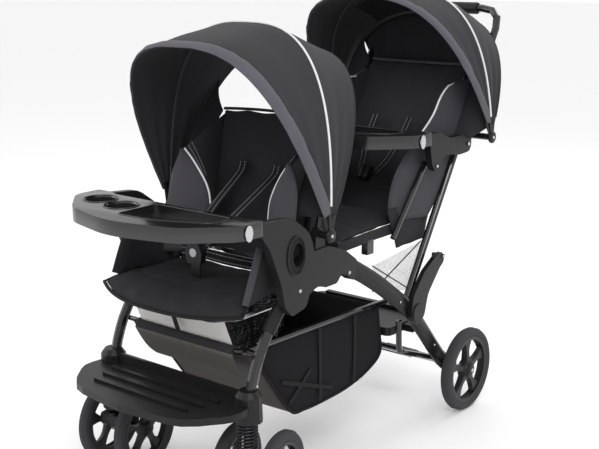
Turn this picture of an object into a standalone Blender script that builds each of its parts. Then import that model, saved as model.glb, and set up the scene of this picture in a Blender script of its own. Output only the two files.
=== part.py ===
"""Sit and stand stroller: a front seat, a rear jump seat and a standing platform on one folding frame.

Metres, +Z up. The stroller faces -Y, +X is the riders' left and the wheels stand on z = 0.
Side plates are drawn in the YZ plane and given their span along X. A left piece is at +X.
"""

import math

import bmesh
import bpy
from mathutils import Matrix, Vector

GAP = 0.0003
RUNNING = 0.0006

# Side frame: the arch, the rear leg and their layers across the width
LEG_X = 0.210
LEG_HIGH = 0.044
LEG_WIDE = 0.018
ARCH_WIDE = 0.024
HINGE_Y = -0.3265
HINGE_Z = 0.497
HINGE_PIN = 0.005
FOLD_Y = 0.1625
FOLD_Z = 0.321
COVER_WIDE = 0.012
REAR_AXLE_Y = 0.378
REAR_BAR_Y = 0.310
REAR_BAR_Z = 0.152

# Front legs, casters and wheels
FRONT_TUBE = 0.012
STEER_Y = -0.4655
HOUSING_R = 0.031
HOUSING_LOW = 0.237
HOUSING_TOP = 0.300
FRONT_WHEEL_R = 0.102
FRONT_TYRE = 0.026
PAIR_HALF = 0.055
TRAIL = 0.043
SPRING_LOW = 0.166
SPRING_R = 0.021
SPRING_WIRE = 0.0022
SPRING_CURLS = 5
STRUT_R = 0.009
STRUT_TOP = 0.262
CASTER_LEFT = 12.0
CASTER_RIGHT = 6.0

# Rear wheels
REAR_WHEEL_R = 0.1125
REAR_TYRE = 0.030
REAR_WHEEL_X = 0.252
AXLE_R = 0.005

# Push frame, parent handle and rear armrests
PUSH_X = 0.186
PUSH_R = 0.0105
PUSH_ANGLE = math.radians(58.3)
PUSH_LENGTH = 0.867
GRIP_R = 0.016
ARM_ALONG = 0.469
ARM_PLATE = 0.018
ARM_X = 0.207
POST_R = 0.007
POST_X = 0.1795
POST_TOP_Y = 0.257
POST_TOP_Z = 0.682
POST_LOW_Y = 0.118
POST_LOW_Z = 0.515
CONSOLE_BELOW = 0.167

# Front armrests and the two trays
FRONT_ARM_WIDE = 0.0195
FRONT_ARM_X = 0.2325
TRAY_THICK = 0.032
TRAY_DEEP = 0.190
TRAY_BACK_Y = -0.450
TRAY_TOP_Z = 0.676
REAR_TRAY_BACK_Y = 0.2235
REAR_TRAY_TOP_Z = 0.772
TONGUE_LONG = 0.036
TONGUE_HIGH = 0.020

# Seats
SEAT_HALF = 0.160
FRONT_SEAT_Z = 0.462
FRONT_SEAT_THICK = 0.034
FRONT_LIP_Y = -0.532
BUCKLE_Y = -0.395
BUCKLE_LOW = FRONT_SEAT_Z + FRONT_SEAT_THICK + 0.0036
FRONT_BACK_HINGE_Y = -0.1875
FRONT_BACK_HINGE_Z = 0.490
FRONT_BACK_LEAN = math.radians(12.0)
FRONT_BACK_LONG = 0.310
FRONT_BACK_THICK = 0.030
REAR_RAIL_X = 0.152
REAR_RAIL_R = 0.007
REAR_SEAT_Z = 0.545
REAR_SEAT_FRONT_Y = -0.080
REAR_SEAT_BACK_Y = 0.215
REAR_BAR_FRONT_Y = -0.110
REAR_BAR_FRONT_Z = 0.489
REAR_BACK_THICK = 0.046
BACK_ROD_R = 0.006
RECLINER_ARM = 0.140
RECLINER_ARM_WIDE = 0.018

# Canopies
FRONT_CANOPY_Y = -0.2275
FRONT_CANOPY_Z = 0.600
FRONT_CANOPY_HALF = 0.246
STALK_LONG = 0.044
REAR_CANOPY_Y = 0.4575
REAR_CANOPY_Z = 0.735
REAR_CANOPY_HALF = 0.258
CANOPY_CLOTH = 0.003
CANOPY_DRAW = 0.004
HOOP_ROUND = 2.9

# Basket and platform
RAIL_X = 0.166
RAIL_R = 0.007
RAIL_Z = 0.370
RAIL_FRONT_Y = -0.4175
RAIL_REAR_Y = 0.112
BASKET_CLOTH = 0.003
BASKET_TOP_Z = 0.366
PLATFORM_HALF = 0.170
PLATFORM_TOP = 0.276
PLATFORM_THICK = 0.022
PLATFORM_FRONT_Y = 0.124
PLATFORM_REAR_Y = 0.285
PLATFORM_EAR_Y = 0.210

WHEEL_STEPS = 22
SIDES = (("left", 1), ("right", -1))

COLOURS = {
    "satin_black": ((0.016, 0.016, 0.018), 0.42, 0.0),
    "gloss_black": ((0.008, 0.008, 0.009), 0.12, 0.2),
    "bright_steel": ((0.62, 0.62, 0.64), 0.22, 1.0),
    "tyre": ((0.050, 0.050, 0.053), 0.85, 0.0),
    "rim": ((0.028, 0.028, 0.031), 0.45, 0.0),
    "charcoal_cloth": ((0.030, 0.029, 0.033), 0.90, 0.0),
    "violet_cloth": ((0.110, 0.105, 0.125), 0.90, 0.0),
    "basket_cloth": ((0.100, 0.093, 0.085), 0.90, 0.0),
    "pale_button": ((0.55, 0.55, 0.57), 0.40, 0.0),
    "foam": ((0.012, 0.012, 0.013), 0.75, 0.0),
}


# Scene, collections and materials

def clear_scene():
    for obj in list(bpy.data.objects):
        bpy.data.objects.remove(obj, do_unlink=True)


def new_collection(name):
    collection = bpy.data.collections.new(name)
    bpy.context.scene.collection.children.link(collection)
    return collection


def make_material(name, look):
    colour, roughness, metallic = look
    material = bpy.data.materials.new(name)
    material.use_nodes = True
    shader = material.node_tree.nodes["Principled BSDF"]
    shader.inputs["Base Color"].default_value = (*colour, 1.0)
    shader.inputs["Roughness"].default_value = roughness
    shader.inputs["Metallic"].default_value = metallic
    return material


clear_scene()
PARTS = new_collection("sit_and_stand_stroller")
GUIDES = new_collection("guides")


# Shared shape helpers

def evaluated_mesh(obj):
    graph = bpy.context.evaluated_depsgraph_get()
    graph.update()
    return bpy.data.meshes.new_from_object(obj.evaluated_get(graph), depsgraph=graph)


def weld(mesh, distance=0.00005):
    form = bmesh.new()
    form.from_mesh(mesh)
    bmesh.ops.remove_doubles(form, verts=form.verts, dist=distance)
    bmesh.ops.recalc_face_normals(form, faces=form.faces)
    form.to_mesh(mesh)
    form.free()


def mesh_object(name, mesh, matrix=None):
    obj = bpy.data.objects.new(name, mesh)
    PARTS.objects.link(obj)
    if matrix is not None:
        mesh.transform(matrix)
    return obj


def bake(obj):
    """Apply the modifiers of a mesh object, or turn a curve into a mesh, in world space."""
    mesh = evaluated_mesh(obj)
    weld(mesh)
    name = obj.name
    matrix = obj.matrix_world.copy()
    bpy.data.objects.remove(obj, do_unlink=True)
    return mesh_object(name, mesh, matrix)


def new_form(name, form, weld_first=True):
    mesh = bpy.data.meshes.new(name)
    if weld_first:
        bmesh.ops.recalc_face_normals(form, faces=form.faces)
    form.to_mesh(mesh)
    form.free()
    return mesh_object(name, mesh)


def bevel(obj, width, segments=2, angle=30.0):
    cut = obj.modifiers.new("soft_edges", "BEVEL")
    cut.width = width
    cut.segments = segments
    cut.limit_method = "ANGLE"
    cut.angle_limit = math.radians(angle)
    return bake(obj)


def combine(obj, other, operation):
    """Join another object to this one or cut it away, and remove the other."""
    step = obj.modifiers.new(operation.lower(), "BOOLEAN")
    step.operation = operation
    step.solver = "EXACT"
    step.object = other
    result = bake(obj)
    bpy.data.objects.remove(other, do_unlink=True)
    return result


def join(obj, *others):
    for other in others:
        obj = combine(obj, other, "UNION")
    return obj


def cut(obj, *others):
    for other in others:
        obj = combine(obj, other, "DIFFERENCE")
    return obj


def rounded(corners, steps=2):
    """Round each (a, b, radius) corner of a closed outline with an arc."""
    points = []
    count = len(corners)
    for index, (a, b, radius) in enumerate(corners):
        here = Vector((a, b))
        before = Vector(corners[index - 1][:2]) - here
        after = Vector(corners[(index + 1) % count][:2]) - here
        turn = before.angle(after)
        if radius <= 0.0 or abs(turn - math.pi) < 0.02:
            points.append(here)
            continue
        reach = min(radius / math.tan(turn / 2), before.length * 0.48, after.length * 0.48)
        start = here + before.normalized() * reach
        end = here + after.normalized() * reach
        for step in range(steps + 1):
            t = step / steps
            points.append(start.lerp(here, t).lerp(here.lerp(end, t), t))
    return points


def circle(centre_a, centre_b, radius, sides=16):
    """Points of a circle, or of an ellipse when the radius is a pair."""
    across, high = radius if isinstance(radius, tuple) else (radius, radius)
    turns = [2 * math.pi * index / sides for index in range(sides)]
    return [Vector((centre_a + across * math.cos(t), centre_b + high * math.sin(t))) for t in turns]


SIDE_PLANE = Matrix(((0, 0, 1, 0), (1, 0, 0, 0), (0, 1, 0, 0), (0, 0, 0, 1)))
FRONT_PLANE = Matrix(((1, 0, 0, 0), (0, 0, 1, 0), (0, 1, 0, 0), (0, 0, 0, 1)))
FLAT_PLANE = Matrix.Identity(4)


def plate(name, outlines, low, high, plane=SIDE_PLANE, edge=0.0):
    """A flat outline, with any holes, given its thickness between two planes."""
    curve = bpy.data.curves.new(name, "CURVE")
    curve.dimensions = "2D"
    curve.fill_mode = "BOTH"
    curve.extrude = (high - low) / 2
    for outline in outlines:
        spline = curve.splines.new("POLY")
        spline.points.add(len(outline) - 1)
        spline.use_cyclic_u = True
        for point, place in zip(spline.points, outline):
            point.co = (place.x, place.y, 0.0, 1.0)
    obj = bpy.data.objects.new(name, curve)
    PARTS.objects.link(obj)
    result = bake(obj)
    result.data.transform(plane @ Matrix.Translation((0, 0, (low + high) / 2)))
    if plane is FRONT_PLANE:
        result.data.flip_normals()
    return bevel(result, edge, 1) if edge > 0.0 else result


def route_points(corners, bend, steps):
    """Straight runs between corners, joined by bends of the given radius."""
    places = [Vector(corner) for corner in corners]
    points = [places[0]]
    for before, here, after in zip(places, places[1:], places[2:]):
        back = before - here
        ahead = after - here
        reach = min(bend / math.tan(back.angle(ahead) / 2), back.length * 0.48, ahead.length * 0.48)
        start = here + back.normalized() * reach
        end = here + ahead.normalized() * reach
        for step in range(steps + 1):
            t = step / steps
            points.append(start.lerp(here, t).lerp(here.lerp(end, t), t))
    points.append(places[-1])
    return points


def smooth_points(corners, steps):
    """A smooth line through the given points."""
    places = [Vector(corner) for corner in corners]
    places = [places[0] * 2 - places[1], *places, places[-1] * 2 - places[-2]]
    points = []
    for a, b, c, d in zip(places, places[1:], places[2:], places[3:]):
        for step in range(steps):
            t = step / steps
            points.append(0.5 * (2 * b + (c - a) * t + (2 * a - 5 * b + 4 * c - d) * t * t
                                 + (3 * b - a - 3 * c + d) * t ** 3))
    points.append(places[-2])
    return points


def tube(name, points, radius, resolution=2, section=None):
    """A closed tube along the points, round or with an oval section (high, wide)."""
    curve = bpy.data.curves.new(name, "CURVE")
    curve.dimensions = "3D"
    curve.use_fill_caps = True
    curve.twist_mode = "Z_UP"
    if section is None:
        curve.bevel_depth = radius
        curve.bevel_resolution = resolution
    else:
        guide_curve = bpy.data.curves.new(name + "_section", "CURVE")
        guide_curve.dimensions = "2D"
        ring = guide_curve.splines.new("POLY")
        outline = circle(0.0, 0.0, (section[1] / 2, section[0] / 2), 10)
        ring.points.add(len(outline) - 1)
        ring.use_cyclic_u = True
        for point, place in zip(ring.points, outline):
            point.co = (place.x, place.y, 0.0, 1.0)
        guide = bpy.data.objects.new(name + "_section", guide_curve)
        GUIDES.objects.link(guide)
        guide.hide_render = True
        guide.display_type = "WIRE"
        curve.bevel_mode = "OBJECT"
        curve.bevel_object = guide
    spline = curve.splines.new("POLY")
    spline.points.add(len(points) - 1)
    for point, place in zip(spline.points, points):
        point.co = (*place, 1.0)
    obj = bpy.data.objects.new(name, curve)
    PARTS.objects.link(obj)
    result = bake(obj)
    if section is not None:
        bpy.data.objects.remove(guide, do_unlink=True)
    return result


def rod(name, start, end, radius, sides=12, radius_end=None):
    """A straight round bar, or a cone when the end radius differs."""
    start = Vector(start)
    end = Vector(end)
    form = bmesh.new()
    bmesh.ops.create_cone(form, cap_ends=True, segments=sides, radius1=radius,
                          radius2=radius if radius_end is None else radius_end,
                          depth=(end - start).length)
    turn = (end - start).to_track_quat("Z", "X").to_matrix().to_4x4()
    bmesh.ops.transform(form, matrix=Matrix.Translation((start + end) / 2) @ turn, verts=form.verts)
    return new_form(name, form, weld_first=False)


def block(name, centre, size, edge=0.0, turn_x=0.0, segments=2):
    form = bmesh.new()
    bmesh.ops.create_cube(form, size=1.0)
    bmesh.ops.scale(form, vec=size, verts=form.verts)
    matrix = Matrix.Translation(centre) @ Matrix.Rotation(turn_x, 4, "X")
    bmesh.ops.transform(form, matrix=matrix, verts=form.verts)
    obj = new_form(name, form, weld_first=False)
    return bevel(obj, edge, segments) if edge > 0.0 else obj


def turned(name, profile, centre, axis="X", steps=32):
    """Revolve an outline of (radius, along) points, given down its outer side."""
    mesh = bpy.data.meshes.new(name)
    count = len(profile)
    edges = [(index, index + 1) for index in range(count - 1)]
    if profile[0][0] > 0.0:
        edges.append((count - 1, 0))
    mesh.from_pydata([(r, 0.0, along) for r, along in profile], edges, [])
    obj = mesh_object(name, mesh)
    spin = obj.modifiers.new("spin", "SCREW")
    spin.angle = 2 * math.pi
    spin.steps = steps
    spin.render_steps = steps
    spin.use_merge_vertices = True
    spin.merge_threshold = 0.00005
    spin.use_smooth_shade = False
    turn = Matrix.Rotation(math.pi / 2, 4, "Y") if axis == "X" else Matrix.Identity(4)
    result = bake(obj)
    result.data.transform(Matrix.Translation(centre) @ turn)
    return result


def finish(obj, look, angle=38.0):
    """Give a piece its own material and smooth shading with sharp edges kept."""
    obj.data.materials.clear()
    obj.data.materials.append(make_material(obj.name + "_finish", COLOURS[look]))
    obj.data.shade_smooth()
    obj.data.set_sharp_from_angle(angle=math.radians(angle))
    return obj


def pivot(name, place, parent=None):
    """An empty on a joint's axis, which the moving pieces hang from."""
    empty = bpy.data.objects.new(name, None)
    empty.empty_display_size = 0.03
    PARTS.objects.link(empty)
    empty.location = place
    if parent is not None:
        empty.parent = parent
        empty.matrix_parent_inverse = Matrix.Translation(-Vector(parent["world"]))
    empty["world"] = list(place)
    return empty


def attach(parent, *pieces):
    for piece in pieces:
        piece.parent = parent
        piece.matrix_parent_inverse = Matrix.Translation(-Vector(parent["world"]))


# Places that several pieces share

def push_point(along, forward=0.0, across=0.0):
    """A point on the push frame: along the tube, forward of it and across the width."""
    ahead = Vector((0.0, math.cos(PUSH_ANGLE), math.sin(PUSH_ANGLE)))
    front = Vector((0.0, -math.sin(PUSH_ANGLE), math.cos(PUSH_ANGLE)))
    return Vector((across, FOLD_Y, FOLD_Z)) + ahead * along + front * forward


def leg_line():
    """The rear leg's centre line in the side view, from inside the arch to the rear axle."""
    return [(-0.128, 0.502), (-0.085, 0.486), (0.000, 0.436), (0.070, 0.388), (0.151, 0.328),
            (0.235, 0.238), (REAR_BAR_Y, 0.155), (REAR_AXLE_Y - 0.022, REAR_WHEEL_R + 0.010),
            (REAR_AXLE_Y + 0.004, REAR_WHEEL_R - 0.006)]


def leg_points(side, steps=2, longer=0.0):
    """The rear leg's line, with its upper end drawn out when a socket is cut for it."""
    points = smooth_points([(side * LEG_X, y, z) for y, z in leg_line()], steps)
    points[0] = points[0] + (points[0] - points[1]).normalized() * longer
    return points


def front_leg_points(side, longer=0.0):
    corners = [(-0.3480, 0.4655), (-0.3610, 0.4560), (-0.3960, 0.4150), (-0.4260, 0.3700), (-0.4470, 0.3200),
               (-0.4560, 0.2830)]
    points = smooth_points([(side * LEG_X, y, z) for y, z in corners], 2)
    points[0] = points[0] + (points[0] - points[1]).normalized() * longer
    points[-1] = points[-1] + (points[-1] - points[-2]).normalized() * longer
    return points


def span(centre, width, side):
    """The two planes across the width that bound a side piece."""
    return side * centre - width / 2, side * centre + width / 2


# Chassis: arches, rear legs, covers, axle and platform

def arch(name, side):
    """The side moulding that carries the front hinge, the rear leg and the front canopy's mount."""
    low, high = span(LEG_X, ARCH_WIDE, side)
    outline = rounded([
        (HINGE_Y - 0.026, HINGE_Z + 0.020, 0.020), (HINGE_Y - 0.026, HINGE_Z - 0.022, 0.022),
        (HINGE_Y + 0.014, HINGE_Z - 0.033, 0.010), (HINGE_Y + 0.034, HINGE_Z - 0.036, 0.008),
        (HINGE_Y + 0.0865, HINGE_Z - 0.013, 0.030),
        (FRONT_BACK_HINGE_Y - 0.022, FRONT_BACK_HINGE_Z - 0.016, 0.014),
        (FRONT_BACK_HINGE_Y + 0.020, FRONT_BACK_HINGE_Z - 0.016, 0.014), (-0.148, 0.496, 0.030),
        (-0.0985, 0.462, 0.008),
        (-0.0900, 0.512, 0.010), (-0.138, 0.546, 0.060), (-0.200, 0.568, 0.060), (-0.262, 0.566, 0.040),
        (-0.305, 0.548, 0.040)])
    body = plate(name, [outline, circle(HINGE_Y, HINGE_Z, HINGE_PIN + RUNNING, 12)], low, high)
    stalk = plate("stalk", [rounded([
        (FRONT_CANOPY_Y - 0.017, FRONT_CANOPY_Z - STALK_LONG, 0.0),
        (FRONT_CANOPY_Y - 0.013, FRONT_CANOPY_Z + 0.013, 0.012),
        (FRONT_CANOPY_Y + 0.013, FRONT_CANOPY_Z + 0.013, 0.012),
        (FRONT_CANOPY_Y + 0.021, FRONT_CANOPY_Z - STALK_LONG, 0.0)])],
        side * LEG_X - 0.008, side * LEG_X + 0.008)
    boss_end = FRONT_CANOPY_HALF - CANOPY_DRAW - CANOPY_CLOTH / 2 - GAP
    boss = rod("boss", (side * LEG_X, FRONT_CANOPY_Y, FRONT_CANOPY_Z),
               (side * boss_end, FRONT_CANOPY_Y, FRONT_CANOPY_Z), 0.009)
    body = join(body, stalk, boss)
    socket = tube("socket", leg_points(side, longer=GAP)[:5], 0.0,
                  section=(LEG_HIGH + 2 * GAP, LEG_WIDE + 2 * GAP))
    return finish(cut(body, socket), "satin_black")


def rear_leg(name, side):
    """An oval tube from inside the arch to the rear axle, bored for the fold pin and the axle."""
    body = tube(name, leg_points(side), 0.0, section=(LEG_HIGH, LEG_WIDE))
    bores = []
    for place, radius in (((FOLD_Y, FOLD_Z), HINGE_PIN), ((REAR_AXLE_Y, REAR_WHEEL_R), AXLE_R)):
        low = (side * (LEG_X - 0.03), *place)
        high = (side * (LEG_X + 0.03), *place)
        bores.append(rod("bore", low, high, radius + RUNNING))
    return finish(cut(body, *bores), "satin_black")


def hinge_cover(name, side):
    """The fold hinge's outer bracket: a disc on the leg and an ear up the push tube."""
    inner = LEG_X + LEG_WIDE / 2 + GAP
    low, high = sorted((side * inner, side * (inner + COVER_WIDE)))
    outline = rounded([
        (FOLD_Y - 0.033, FOLD_Z - 0.006, 0.030), (FOLD_Y - 0.004, FOLD_Z - 0.036, 0.030),
        (FOLD_Y + 0.030, FOLD_Z - 0.016, 0.026), (FOLD_Y + 0.046, FOLD_Z + 0.040, 0.050),
        (FOLD_Y + 0.100, FOLD_Z + 0.098, 0.020), (FOLD_Y + 0.122, FOLD_Z + 0.112, 0.014),
        (FOLD_Y + 0.108, FOLD_Z + 0.140, 0.014), (FOLD_Y + 0.076, FOLD_Z + 0.130, 0.030),
        (FOLD_Y + 0.026, FOLD_Z + 0.102, 0.030), (FOLD_Y - 0.022, FOLD_Z + 0.048, 0.040)])
    body = plate(name, [outline], low, high)
    disc = rod("disc", (side * (inner + COVER_WIDE - 0.003), FOLD_Y, FOLD_Z),
               (side * (inner + COVER_WIDE + 0.0035), FOLD_Y, FOLD_Z), 0.026, 20, 0.024)
    ear = rod("ear", (side * (PUSH_X + PUSH_R + 0.004), FOLD_Y + 0.1125, FOLD_Z + 0.1245),
              (side * (inner + COVER_WIDE + 0.002), FOLD_Y + 0.1125, FOLD_Z + 0.1245), 0.006)
    body = join(body, disc, ear)
    pin = rod("pin", (side * 0.18, FOLD_Y, FOLD_Z), (side * (inner + COVER_WIDE - 0.002), FOLD_Y, FOLD_Z),
              HINGE_PIN + RUNNING)
    return finish(cut(body, pin), "satin_black")


def rear_frame(name):
    """One bent tube: down from each leg, back to the rear bar and across."""
    x = LEG_X - LEG_WIDE / 2 - 0.0085
    corners = [(x, 0.1345, 0.300), (x, 0.1385, 0.216), (x, REAR_BAR_Y - 0.006, REAR_BAR_Z),
               (x - 0.030, REAR_BAR_Y, REAR_BAR_Z - 0.003)]
    far = [(-a, b, c) for a, b, c in reversed(corners)]
    body = tube(name, route_points(corners + far, 0.022, 2), 0.008)
    feet = [rod("foot", (side * (x - 0.006), REAR_BAR_Y - 0.012, REAR_BAR_Z + 0.002),
                (side * (LEG_X - LEG_WIDE / 2 - GAP), REAR_BAR_Y - 0.012, REAR_BAR_Z + 0.002), 0.006)
            for _, side in SIDES]
    return finish(join(body, *feet), "gloss_black")


def rear_axle(name):
    end = REAR_WHEEL_X + REAR_TYRE / 2 + 0.006
    body = rod(name, (-end, REAR_AXLE_Y, REAR_WHEEL_R), (end, REAR_AXLE_Y, REAR_WHEEL_R), AXLE_R, 14)
    return finish(body, "bright_steel")


def platform(name):
    """The standing platform: a ribbed board with side ears on the rear legs."""
    half = PLATFORM_HALF
    ear = LEG_X - LEG_WIDE / 2 - GAP
    deep = PLATFORM_REAR_Y - PLATFORM_FRONT_Y
    outline = rounded([
        (-half, PLATFORM_FRONT_Y, 0.020), (half, PLATFORM_FRONT_Y, 0.020), (half, PLATFORM_REAR_Y, 0.024),
        (-half, PLATFORM_REAR_Y, 0.024)], 4)
    body = plate(name, [outline], PLATFORM_TOP - PLATFORM_THICK, PLATFORM_TOP, FLAT_PLANE)
    rail = block("rear_rail", (0, PLATFORM_REAR_Y - 0.012, PLATFORM_TOP - 0.004),
                 (2 * half - 0.06, 0.016, 0.026))
    hollow = block("hollow", (0, (PLATFORM_FRONT_Y + PLATFORM_REAR_Y) / 2 - 0.004,
                              PLATFORM_TOP - PLATFORM_THICK), (2 * half - 0.024, deep - 0.030, 0.028))
    ribs = [block("rib", (x, (PLATFORM_FRONT_Y + PLATFORM_REAR_Y) / 2 - 0.004, PLATFORM_TOP - 0.0115),
                  (0.003, deep - 0.026, 0.019)) for x in (-0.095, 0.0, 0.095)]
    ears = [block("ear", (side * (ear - 0.025), PLATFORM_EAR_Y, PLATFORM_TOP - 0.012), (0.050, 0.046, 0.018))
            for _, side in SIDES]
    return finish(join(cut(body, hollow), rail, *ribs, *ears), "satin_black")


def brake_bar(name):
    """A foot bar that turns on the rear axle and locks both wheels."""
    half = LEG_X - LEG_WIDE / 2 - 0.004
    bar_y = REAR_AXLE_Y + 0.050
    bar_z = REAR_WHEEL_R - 0.020
    body = tube(name, route_points([
        (half - 0.010, REAR_AXLE_Y, REAR_WHEEL_R), (half - 0.010, bar_y, bar_z),
        (-half + 0.010, bar_y, bar_z), (-half + 0.010, REAR_AXLE_Y, REAR_WHEEL_R)], 0.015, 2), 0.006, 1)
    hubs = [rod("hub", (side * (half - 0.020), REAR_AXLE_Y, REAR_WHEEL_R),
                (side * half, REAR_AXLE_Y, REAR_WHEEL_R), 0.014, 10) for _, side in SIDES]
    pedal = block("pedal", (0, bar_y + 0.006, bar_z), (0.110, 0.042, 0.012), 0.003, segments=1)
    bore = rod("bore", (-half - 0.01, REAR_AXLE_Y, REAR_WHEEL_R), (half + 0.01, REAR_AXLE_Y, REAR_WHEEL_R),
               AXLE_R + RUNNING)
    return finish(cut(join(body, *hubs, pedal), bore), "satin_black")


# Seats on the chassis

def front_seat_frame(name):
    """The bright bent rod that hangs under each arch and carries the front seat."""
    x = LEG_X - ARCH_WIDE / 2 - 0.0056
    under = FRONT_SEAT_Z - 0.0044
    side_run = [(x, -0.2150, 0.512), (x, -0.2420, 0.480), (x - 0.0075, -0.2860, under),
                (x - 0.0085, -0.4600, under), (x - 0.045, -0.5050, under)]
    far = [(-a, b, c) for a, b, c in reversed(side_run)]
    return finish(tube(name, route_points(side_run + far, 0.022, 2), 0.005, 1), "bright_steel")


def cushion(name, half, front, back, low, thick, crown, lip=0.0, flare=0.0, channels=()):
    """A padded cushion with a crown, drawn-in sides and sewn channels across it."""
    form = bmesh.new()
    bmesh.ops.create_cube(form, size=1.0)
    cuts_x = [-0.40, 0.0, 0.40]
    cuts_y = sorted([-0.42, 0.42] + [place for channel in channels
                                     for place in (channel - 0.03, channel, channel + 0.03)])
    for axis, places in ((0, cuts_x), (1, cuts_y)):
        for place in places:
            normal = Vector((0, 0, 0))
            normal[axis] = 1.0
            geometry = form.verts[:] + form.edges[:] + form.faces[:]
            bmesh.ops.bisect_plane(form, geom=geometry, plane_co=normal * place, plane_no=normal, dist=1e-5)
    length = back - front
    for vert in form.verts:
        a, b, c = vert.co
        round_a = 1 - (2 * a) ** 4
        round_b = 1 - (2 * b) ** 4
        puff = max(0.0, round_a * round_b)
        groove = sum(max(0.0, 1 - abs(b - channel) / 0.03) for channel in channels)
        high = low + thick * (c + 0.5)
        if c > 0.2:
            high += crown * puff - 0.45 * crown * min(1.0, groove) * (1 - (2 * a) ** 6)
            high -= lip * max(0.0, -2 * b) ** 6
        widen = 1 + flare * max(0.0, -2 * b - 0.25)
        corner = 1 - 0.10 * max(0.0, abs(2 * b) - 0.6)
        bow = -0.12 * flare * length * (1 - (2 * a) ** 2) * max(0.0, -2 * b)
        vert.co = (a * 2 * half * widen * corner, front + length * (b + 0.5) + bow, high)
    obj = new_form(name, form)
    soft = obj.modifiers.new("soft", "SUBSURF")
    soft.levels = 1
    soft.render_levels = 1
    return bake(obj)


def front_seat_pad(name):
    body = cushion(name, SEAT_HALF, FRONT_LIP_Y + 0.012, -0.242, FRONT_SEAT_Z, FRONT_SEAT_THICK, 0.006,
                   lip=0.010, flare=0.38, channels=(0.12,))
    return finish(body, "charcoal_cloth", 60)


def rear_seat_frame(name):
    """A U rail under the rear seat, on a cross bar between the arches."""
    x = REAR_RAIL_X
    low = REAR_BAR_FRONT_Z
    under = REAR_SEAT_Z - 0.0140 - REAR_RAIL_R
    side_run = [(x, REAR_SEAT_BACK_Y + 0.035, under - 0.004), (x, 0.050, under),
                (x, REAR_SEAT_FRONT_Y + 0.020, under), (x - 0.020, REAR_BAR_FRONT_Y + 0.001, low + 0.004)]
    far = [(-a, b, c) for a, b, c in reversed(side_run)]
    body = tube(name, route_points(side_run + far, 0.020, 2), REAR_RAIL_R)
    end = LEG_X - ARCH_WIDE / 2 - GAP
    bar = rod("bar", (-end, REAR_BAR_FRONT_Y, low), (end, REAR_BAR_FRONT_Y, low), 0.008)
    clips = [block("clip", (side * x, 0.050, under - 0.020), (0.018, 0.026, 0.036)) for _, side in SIDES]
    return finish(join(body, bar, *clips), "gloss_black")


def rear_seat_pad(name):
    body = cushion(name, 0.158, REAR_SEAT_FRONT_Y, REAR_SEAT_BACK_Y, REAR_SEAT_Z - 0.019, 0.036, 0.008,
                   lip=0.006, channels=(0.0,))
    return finish(body, "charcoal_cloth", 60)


# Front frame: legs, armrests, footrest and casters

def front_leg(name, side):
    return finish(tube(name, front_leg_points(side), FRONT_TUBE), "gloss_black")


def armrest(name, side):
    """The hinge moulding and armrest: an outer plate with an oval opening, a pin and a leg socket."""
    low, high = span(FRONT_ARM_X, FRONT_ARM_WIDE, side)
    top = TRAY_TOP_Z - 0.006
    outline = rounded([
        (TRAY_BACK_Y + 0.0008, top, 0.004), (TRAY_BACK_Y + 0.0008, top - 0.034, 0.010),
        (-0.425, 0.606, 0.060),
        (-0.388, 0.520, 0.080), (-0.377, 0.470, 0.012), (-0.354, 0.446, 0.012), (-0.304, 0.456, 0.016),
        (-0.286, 0.500, 0.030), (-0.268, 0.545, 0.060), (-0.290, 0.618, 0.060), (-0.352, 0.662, 0.060)])
    hole = circle(-0.333, 0.578, (0.024, 0.036), 14)
    turn = Matrix.Rotation(math.radians(24), 2)
    centre = Vector((-0.333, 0.578))
    hole = [centre + turn @ (point - centre) for point in hole]
    body = plate(name, [outline, hole], low, high, edge=0.003)
    tongue = block("tongue", (side * FRONT_ARM_X, TRAY_BACK_Y - TONGUE_LONG / 2 + 0.004, TRAY_TOP_Z - 0.018),
                   (0.011, TONGUE_LONG + 0.008, TONGUE_HIGH))
    pin = rod("pin", (side * (LEG_X - ARCH_WIDE / 2 - 0.003), HINGE_Y, HINGE_Z),
              (side * (FRONT_ARM_X - 0.004), HINGE_Y, HINGE_Z), HINGE_PIN, 14)
    head = rod("head", (side * (LEG_X - ARCH_WIDE / 2 - 0.005), HINGE_Y, HINGE_Z),
               (side * (LEG_X - ARCH_WIDE / 2 - GAP * 2), HINGE_Y, HINGE_Z), 0.009, 14)
    socket = tube("socket", front_leg_points(side)[1:5], FRONT_TUBE + 0.0035)
    body = join(body, tongue, pin, head, socket)
    bore = tube("bore", front_leg_points(side, GAP), FRONT_TUBE + GAP)
    return finish(cut(body, bore), "satin_black")


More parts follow.
